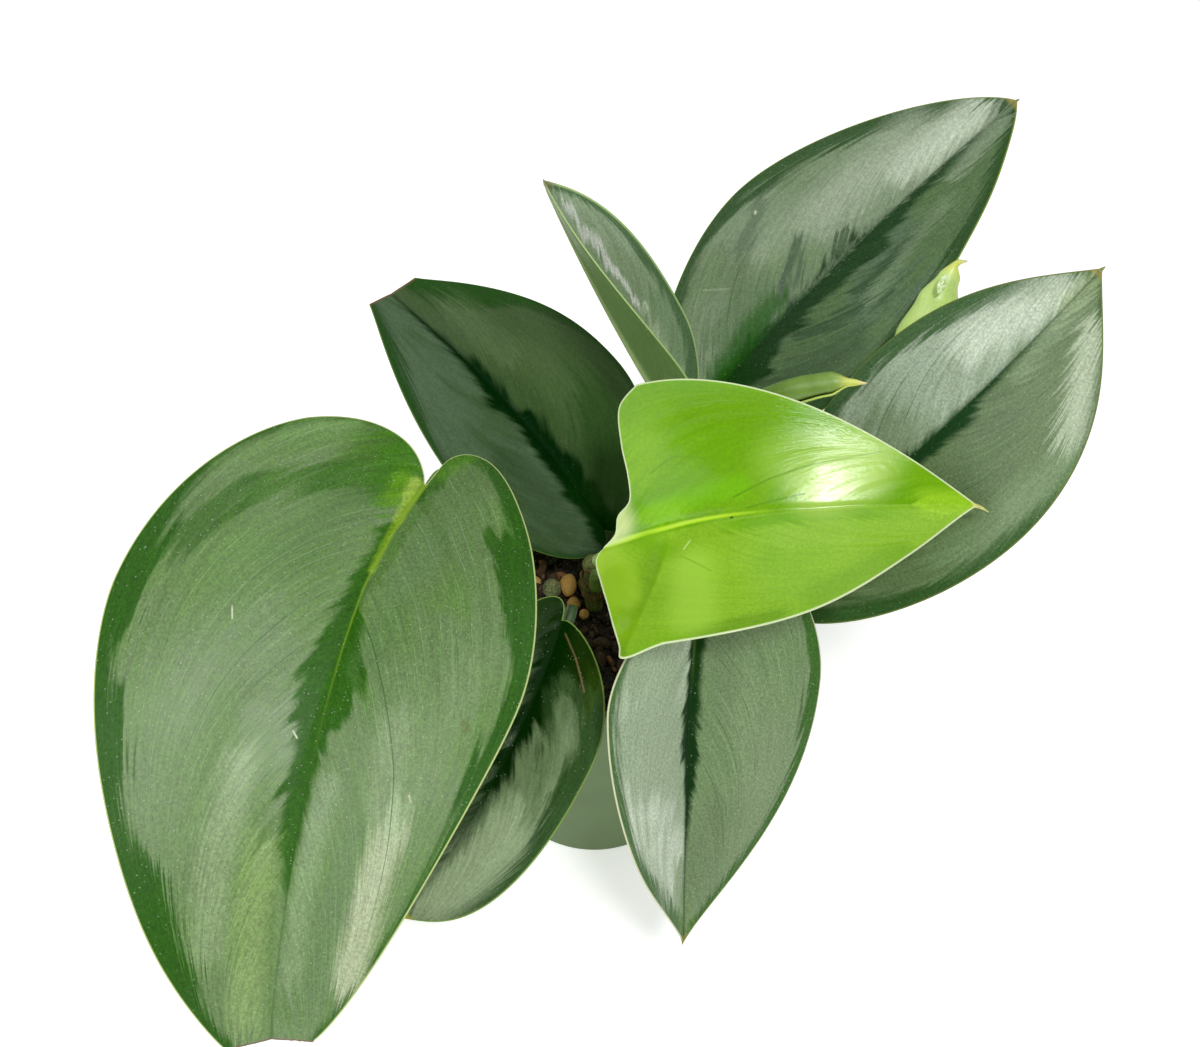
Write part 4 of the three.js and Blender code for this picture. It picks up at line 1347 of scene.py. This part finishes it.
TONES = ("green", "deep", "base", "margin", "under", "rib_color", "rim_color", "tip")


def look(silver, green, deep, base, margin, band, edge, **changes):
    """The shared look with a leaf's own tones and changes. Its tones, but not those of strokes and
    marks, become linear colours."""
    made = {**LOOK, "green": green, "deep": deep, "base": base, "margin": margin, **changes}
    made.update({key: srgb(*made[key]) for key in TONES})
    made["silver"] = [srgb(*tone) for tone in silver]
    for key, pair in (("band", band), ("edge", edge)):
        made[key] = [[(0, wide)] if isinstance(wide, (int, float)) else wide for wide in pair]
    return made


LEAVES["great"].update(
    quilt=0.16, wave=0.5, seed=1.0, notch=(0.3, 2.3), drift=(2.8, 40, 167),
    folds=[(((100, 24), (160, 14)), 7, 0.9), (((95, 7), (160, 2)), 4, 0.7),
           (((80, -18), (135, -17)), 7, 0.7)],
    look=look(
        [(94, 124, 68), (98, 127, 72)], (88, 128, 48), (42, 92, 6), (48, 102, 0), (34, 86, 0),
        ([(0, 0.6), (44, 0.8), (50, 4), (60, 8), (70, 8), (78, 6.5), (84, 3), (95, 1.4), (110, 1),
          (120, 0)],
         [(0, 0.8), (20, 2.4), (45, 5.5), (55, 7.5), (74, 8.5), (86, 7.5), (98, 6.5), (110, 5),
          (120, 3), (128, 0)]),
        ([(0, 5.5), (8, 7), (18, 11), (30, 10), (44, 7), (58, 4.5), (80, 5), (100, 2.4), (160, 1.4)],
         [(0, 1.5), (30, 3), (44, 7), (66, 8), (76, 5), (85, 6.5), (98, 7), (110, 5), (126, 10),
          (144, 8), (160, 3)]),
        teeth=2.8, soft=1.5, contrast=0.13, threads=0.18, edge_strength=0.93, grit=0.32, dull=0.16,
        line=0.3, rib=0.1, rib_base=0.7, rib_color=(122, 158, 34), rib_fade=(0.2, 0.6), rim=0.42,
        rim_color=(188, 204, 132), dust=0.9,
        strokes=[
            ((10, -14), (38, -20), 14, (74, 112, 44), 0.7),
            ((-9, -14), (3, -9), 14, (58, 116, 0), 0.95),
            ((1, -6), (12, -7), 5, (84, 140, 4), 0.8), ((-6, -22), (3, -20), 9, (66, 112, 18), 0.8),
            ((4, -7), (12, -22), 9, (56, 110, 4), 0.8), ((13, -24), (26, -40), 8, (50, 100, 10), 0.75),
            ((28, -42), (50, -55), 7, (44, 94, 8), 0.75), ((4, 4), (40, 2.4), 3, (56, 100, 16), 0.5),
            ((-5, -26), (6, -40), 6, (104, 146, 70), 0.7), ((8, -40), (24, -51), 5, (98, 138, 66), 0.6),
            ((-8, 8), (22, 20), 16, (78, 110, 52), 0.5), ((20, 12), (60, 10), 8, (80, 114, 60), 0.5),
            ((30, -30), (60, -32), 16, (92, 130, 62), 0.5),
            ((66, -36), (108, -34), 14, (103, 132, 78), 0.5),
            # The pale cream and grey streaks toward the tip run along the folds: partly the leaf's own
            # pale silver, partly painted highlight where the folds tilt toward the light.
            ((104, 28), (146, 21), 7, (180, 190, 154), 0.85),
            ((106, 18), (150, 14), 5, (90, 122, 70), 0.7),
            ((76, 24), (98, 25), 8, (132, 154, 110), 0.6), ((96, 9), (150, 5), 5, (132, 156, 112), 0.6),
            ((94, 30), (104, 29), 5, (156, 178, 134), 0.6),
            ((93, -16), (140, -17), 8, (138, 160, 114), 0.75),
            ((115, -6), (160, -7), 7, (140, 168, 98), 0.6),
            ((56, 38), (90, 34), 9, (114, 140, 90), 0.6)],
        marks=[
            ((3, -6), (10, -5), 5, (104, 156, 6), 0.6),
            ((1.5, -2.4), (7, -1.6), 3.2, (158, 188, 72), 0.9),
            ((5, -1.4), (16, -0.6), 2.4, (150, 184, 58), 0.8),
            ((16, -0.6), (34, 0), 1.7, (132, 168, 40), 0.6), ((-14, 6), (-4, 2), 5, (82, 132, 24), 0.5),
            ((57, -30.5), (60, -29.2), 0.35, (206, 214, 180), 0.9),
            ((83, -4.5), (84.6, -3), 0.35, (206, 214, 180), 0.8),
            ((93, 31), (94.6, 31.8), 0.35, (200, 196, 150), 0.7),
            ((71, 41), (72, 41.4), 1.8, (84, 98, 30), 0.6)],
        veins=[(-1, 14, 30, 60, 0.35), (-1, 36, 42, 100, 0.6), (-1, 50, 58, 90, 0.4),
               (1, 45, 48, 140, 0.85), (1, 8, 40, 80, 0.35)]))
LEAVES["upper_left"].update(quilt=0.06, wave=0.4, seed=2.0, look=look(
    [(80, 105, 74), (58, 83, 40)], (52, 82, 30), (0, 36, 2), (6, 52, 0), (36, 76, 24),
    ([(0, 6), (28, 6), (42, 4), (50, 2.5), (58, 6), (64, 4), (72, 2.5), (92, 1.6), (100, 0)],
     [(0, 7), (20, 7), (36, 5), (44, 7), (50, 3), (68, 3), (78, 1.6), (90, 0)]),
    ([(0, 1.5), (60, 2), (76, 4), (92, 4), (104, 2)], [(0, 3), (70, 3), (84, 8), (100, 5)]),
    teeth=1.8, soft=2.0, ghost=0.2, contrast=0.09, shine=0.3, dull=0.04, grit=0.2, line=0.2,
    dust=0.15, threads=0.03, rib_color=(4, 44, 0), rib=0.2, rib_base=0.3, rim_color=(96, 122, 60),
    rim=0.25,
    strokes=[
        ((62, -16), (36, -18), 10, (76, 102, 52), 0.5), ((86, -12), (66, -12), 9, (84, 108, 66), 0.6),
        ((10, -12), (32, -24), 15, (40, 72, 26), 0.8), ((10, 12), (40, 14), 9, (52, 78, 44), 0.6)]))
LEAVES["folded"].update(quilt=0.04, wave=0.2, seed=3.0, mucro=(0.6, 0.1), look=look(
    [(146, 168, 134), (150, 171, 138)], (126, 150, 108), (70, 104, 66), (60, 98, 50), (76, 108, 68),
    ([(0, 0.5)], [(0, 2), (30, 1), (60, 0)]), (2, [(0, 4), (40, 3), (88, 1.5)]),
    ghost=0.3, contrast=0.1, under=(94, 126, 60), rim_color=(164, 190, 124), rim=0.6,
    tip=(140, 148, 110),
    # The near-white and pale lines along the fold are painted highlight on the fold.
    strokes=[
        ((40, -9), (60, -5.8), 1.3, (232, 234, 226), 0.9),
        ((60, -5.8), (80, -2), 2.0, (228, 230, 222), 0.8), ((58, 2), (84, 1), 3, (186, 196, 174), 0.6),
        ((14, -7.6), (40, -9), 1.6, (176, 192, 156), 0.7),
        ((18, -12), (40, -14), 4, (104, 138, 90), 0.6)]))
LEAVES["lime"].update(
    quilt=0.08, wave=0.5, seed=4.0, mucro=(3.6, 1.6), drift=(1.5, 0, 62),
    folds=[(((19, -3), (17, -12), (12, -24), (8, -40)), 4.5, -1.0),
           (((2, 8), (12, 12), (16, 20)), 4.0, -0.5),
           (((3, -8), (5, -30)), 3.0, 0.8), (((62, 12), (86, 9)), 5, 0.2)])
LEAVES["upper_right"].update(quilt=0.06, wave=0.5, seed=5.0, mucro=(1.0, 0.2), look=look(
    [(110, 132, 96), (80, 105, 74)], (82, 112, 58), (38, 66, 36), (12, 58, 2), (44, 76, 36),
    ([(0, 3), (20, 4), (34, 3), (44, 2), (64, 2.6), (84, 1), (92, 0)],
     [(0, 12), (20, 11), (40, 8), (60, 8.5), (76, 9), (92, 5), (110, 3), (124, 1.4), (134, 0)]),
    ([(0, 4), (40, 4), (54, 5), (84, 5), (104, 5), (120, 6), (136, 5)], [(0, 5), (100, 4), (136, 2)]),
    teeth=2.8, soft=1.8, rim_color=(116, 138, 46), rib_color=(24, 70, 10), rib=0.3, ghost=0.35,
    contrast=0.12, line=0.15, grit=0.28,
    # The pale strokes on the left half toward the tip are partly painted sheen, where that half catches
    # the light.
    strokes=[
        ((96, 8), (124, 6), 9, (190, 202, 180), 0.85), ((50, 20), (90, 16), 8, (134, 152, 120), 0.6),
        ((44, 4), (60, 15), 3, (38, 72, 36), 0.9), ((10, 3), (40, 6), 7, (30, 88, 8), 0.9),
        ((20, 12), (40, 12), 7, (70, 104, 52), 0.6), ((70, 13), (108, 15), 12, (150, 164, 140), 0.65),
        ((46, 26), (60, 34), 4, (50, 80, 44), 0.6), ((63, 2), (72, 6), 2.6, (34, 66, 32), 0.8),
        ((61, -14), (84, -14), 3.2, (36, 66, 36), 0.8), ((36, -10), (68, -24), 2.6, (40, 72, 42), 0.8),
        ((62, -20), (100, -12), 4, (108, 130, 96), 0.7), ((16, -18), (48, -26), 11, (50, 78, 44), 0.7),
        ((50, 0.6), (130, 0.6), 1.2, (116, 134, 104), 0.5),
        ((108, -7), (130, -2.5), 4.5, (130, 148, 118), 0.8)],
    marks=[
        ((27, 26), (33, 20), 0.5, (140, 160, 128), 0.6),
        ((55.6, 31.6), (56, 31.8), 0.7, (200, 206, 170), 0.8)],
    veins=[(1, 44, 48, 70, 0.5), (1, 12, 22, 60, 0.5), (-1, 30, 40, 90, 0.6)]))
LEAVES["right"].update(quilt=0.06, wave=0.4, seed=6.0, mucro=(1.0, 0.3), look=look(
    [(146, 164, 138), (88, 112, 70)], (96, 120, 74), (24, 60, 24), (24, 66, 14), (46, 84, 34),
    ([(0, 2), (60, 1.5), (80, 0.5), (96, 0)],
     [(0, 9), (50, 5), (66, 4), (80, 2), (100, 0.8), (116, 0)]),
    ([(0, 5), (60, 5), (90, 6), (112, 5), (122, 2.6)],
     [(0, 5), (40, 5), (60, 4), (80, 2.4), (126, 0.8)]),
    teeth=2.2, soft=1.5, ghost=0.22, grit=0.32, line=0.5, edge_range=(0.5, 1.4),
    rim_color=(104, 120, 54), contrast=0.1, threads=0.16,
    # The two near-white strokes toward the tip are partly the leaf's own pale silver, partly painted
    # sheen.
    strokes=[
        ((112, -10), (88, -28), 6, (192, 206, 176), 0.75),
        ((114, 5), (88, 12), 10, (202, 214, 192), 0.7),
        ((44, -30), (84, -32), 8, (116, 142, 98), 0.7), ((90, -4), (116, -1), 5, (124, 146, 108), 0.6),
        ((112, 0), (122, 0), 5, (140, 160, 110), 0.6)],
    veins=[(1, 46, 56, 95, 0.6), (1, 34, 40, 80, 0.5), (-1, 30, 40, 80, 0.4), (-1, 60, 64, 100, 0.4)]))
# Its right half's near-white silver and the pale stroke on it are partly painted reflection of the
# white floor.
LEAVES["front"].update(quilt=0.06, wave=0.3, seed=7.0, mucro=(0.8, 0.2), look=look(
    [(112, 136, 92), (192, 207, 182)], (106, 136, 82), (14, 52, 10), (22, 66, 6), (52, 98, 28),
    ([(0, 3), (16, 3), (40, 3.6), (60, 2.6), (70, 1.4), (84, 0)],
     [(0, 2.4), (28, 3), (42, 4), (56, 3), (64, 1.2), (80, 0)]),
    ([(0, 3), (30, 4.5), (60, 3), (109, 2)],
     [(0, 1.6), (30, 3), (60, 2.6), (80, 3), (94, 4.5), (109, 3)]),
    teeth=1.4, soft=1.2, ghost=0.15, edge_range=(0.4, 1.5), rim=0.4, rim_color=(206, 208, 172),
    dust=1.0, contrast=0.1, threads=0.26, rib=0.2, rib_base=0.3, grit=0.36,
    strokes=[
        ((64, -13), (88, -10), 8, (190, 200, 180), 0.4), ((84, -4), (104, 0), 5, (112, 142, 82), 0.7),
        ((34, 22), (60, 22), 12, (126, 148, 106), 0.5), ((70, 10), (92, 4), 10, (92, 116, 74), 0.6),
        ((16, 10), (40, 8), 8, (98, 124, 80), 0.5)],
    veins=[(1, 14, 19, 70, 0.4), (1, 30, 36, 80, 0.35), (1, 48, 52, 90, 0.3), (-1, 22, 26, 40, 0.3)]))
LEAVES["lower_front"].update(quilt=0.1, wave=0.3, seed=8.0, mucro=(0.8, 0.2), look=look(
    [(132, 154, 114), (38, 66, 32)], (92, 116, 70), (6, 40, 0), (4, 40, 0), (38, 74, 26),
    ([(0, 26), (12, 22), (20, 12), (28, 6), (40, 3.4), (60, 2.4), (80, 1)], [(0, 3), (30, 3), (97, 1)]),
    ([(0, 12), (30, 8), (48, 6), (60, 4.4), (90, 3)], 4),
    ghost=0.2, teeth=4, soft=2.4, grit=0.22, line=0.1, contrast=0.12, rim_color=(128, 158, 78),
    tip=(190, 180, 80), dull=0.03, rib=0.1, rib_base=0.1, rib_color=(10, 48, 4),
    # The near-white stroke toward the tip of the left half is partly painted sheen.
    strokes=[
        ((-8, -5), (6, -9), 12, (24, 50, 6), 0.85), ((6, 10), (16, 14), 9, (34, 56, 10), 0.7),
        ((60, 10), (90, 5), 12, (180, 198, 160), 0.7), ((20, 8), (40, 12), 7, (84, 112, 66), 0.7),
        ((10, 16), (20, 18), 5, (60, 86, 20), 0.5), ((50, 19), (58, 21), 2.4, (30, 62, 22), 0.6),
        ((22, 5), (36, 9), 4, (30, 62, 22), 0.6), ((56, 2), (72, 3), 2.6, (40, 72, 34), 0.5)],
    marks=[
        ((4, 2.4), (10, 8), 0.45, (126, 108, 72), 0.6),
        ((10, 8), (18, 14), 0.45, (140, 114, 84), 0.7)]))


# Camera: lens and sensor in millimetres, its place in metres, its tilt up from straight down
LENS = 45
SENSOR_WIDTH = 36
EYE = (0.00209, -0.3219, 0.45092)
EYE_TILT = 45
FAR_CLIP = 20

# Lamps: name, azimuth and height in degrees as seen from the leaves, distance, size and power
TARGET = (0.0, -0.02, 0.14)
LAMPS = [
    ("key", -76, 55, 1.2, (0.15, 0.15), 6.5),
    ("window", -140, 34, 1.2, (1.0, 0.8), 5.5),
    ("ceiling", 60, 75, 1.4, (1.2, 1.2), 5.0),
]
WORLD_LIGHT = 0.25
FLOOR_SIZE = 6


# Stage, lights and camera
def camera():
    data = bpy.data.cameras.new("camera")
    data.lens = LENS
    data.sensor_width = SENSOR_WIDTH
    data.sensor_fit = "HORIZONTAL"
    data.clip_end = FAR_CLIP
    eye = bpy.data.objects.new("camera", data)
    eye.location = EYE
    eye.rotation_euler = (math.radians(EYE_TILT), 0, 0)
    bpy.context.scene.collection.objects.link(eye)
    bpy.context.scene.camera = eye


def area_light(name, azimuth, height, distance, size, power):
    data = bpy.data.lights.new(name, "AREA")
    data.shape = "RECTANGLE"
    data.size, data.size_y = size
    data.energy = power
    lamp = bpy.data.objects.new(name, data)
    level = distance * math.cos(math.radians(height))
    away = heading(azimuth) * level + (0, 0, distance * math.sin(math.radians(height)))
    lamp.location = np.array(TARGET) + away
    lamp.rotation_euler = (math.radians(90 - height), 0, math.radians(azimuth + 90))
    bpy.context.scene.collection.objects.link(lamp)


def stage():
    world = bpy.data.worlds.new("studio")
    world.use_nodes = True
    background = world.node_tree.nodes["Background"]
    background.inputs["Color"].default_value = (1.0, 1.0, 1.0, 1.0)
    background.inputs["Strength"].default_value = WORLD_LIGHT
    bpy.context.scene.world = world
    bpy.context.scene.view_settings.view_transform = "Standard"
    bpy.ops.mesh.primitive_plane_add(size=FLOOR_SIZE)
    floor = bpy.context.active_object
    floor.name = "floor"
    floor.data.materials.append(floor_material())
    for lamp in LAMPS:
        area_light(*lamp)


camera()
stage()
pot(pot_material())
soil(soil_material())
stem_skin, dry_skin = vine_material(), sheath_material()
for vine_name, vine_shape in VINES.items():
    vine(vine_name, vine_shape, stem_skin, dry_skin)
stalk_skin = stalk_material("stalk skin", (140, 170, 84), (98, 134, 52))
shaded_skin = stalk_material("shaded stalk skin", (62, 88, 40), (44, 70, 28))
cream = point_material("cream point", (214, 214, 128))
olive = point_material("olive point", (126, 134, 66))
for leaf_name, leaf_shape in LEAVES.items():
    is_lime = leaf_name == "lime"
    stalk(leaf_name, shaded_skin if leaf_name == "lower_front" else stalk_skin)
    skin = lime_material(leaf_shape) if is_lime else leaf_material(f"blade {leaf_name}", leaf_shape)
    blade(leaf_name, leaf_shape, skin)
    if "mucro" in leaf_shape:
        mucro(leaf_name, leaf_shape, cream if is_lime else olive)
pale_skin = shoot_material("pale shoot", (200, 226, 140), (182, 210, 112))
# A darker copy of the shoot skin for the spear: partly its own greener tone, partly painted shade
green_shaded_skin = shoot_material("green shaded shoot", (122, 154, 70), (100, 132, 50))
for shoot_name, shoot_shape in SHOOTS.items():
    shoot(shoot_name, shoot_shape, green_shaded_skin if shoot_name == "spear" else pale_skin)
drop(drop_material())
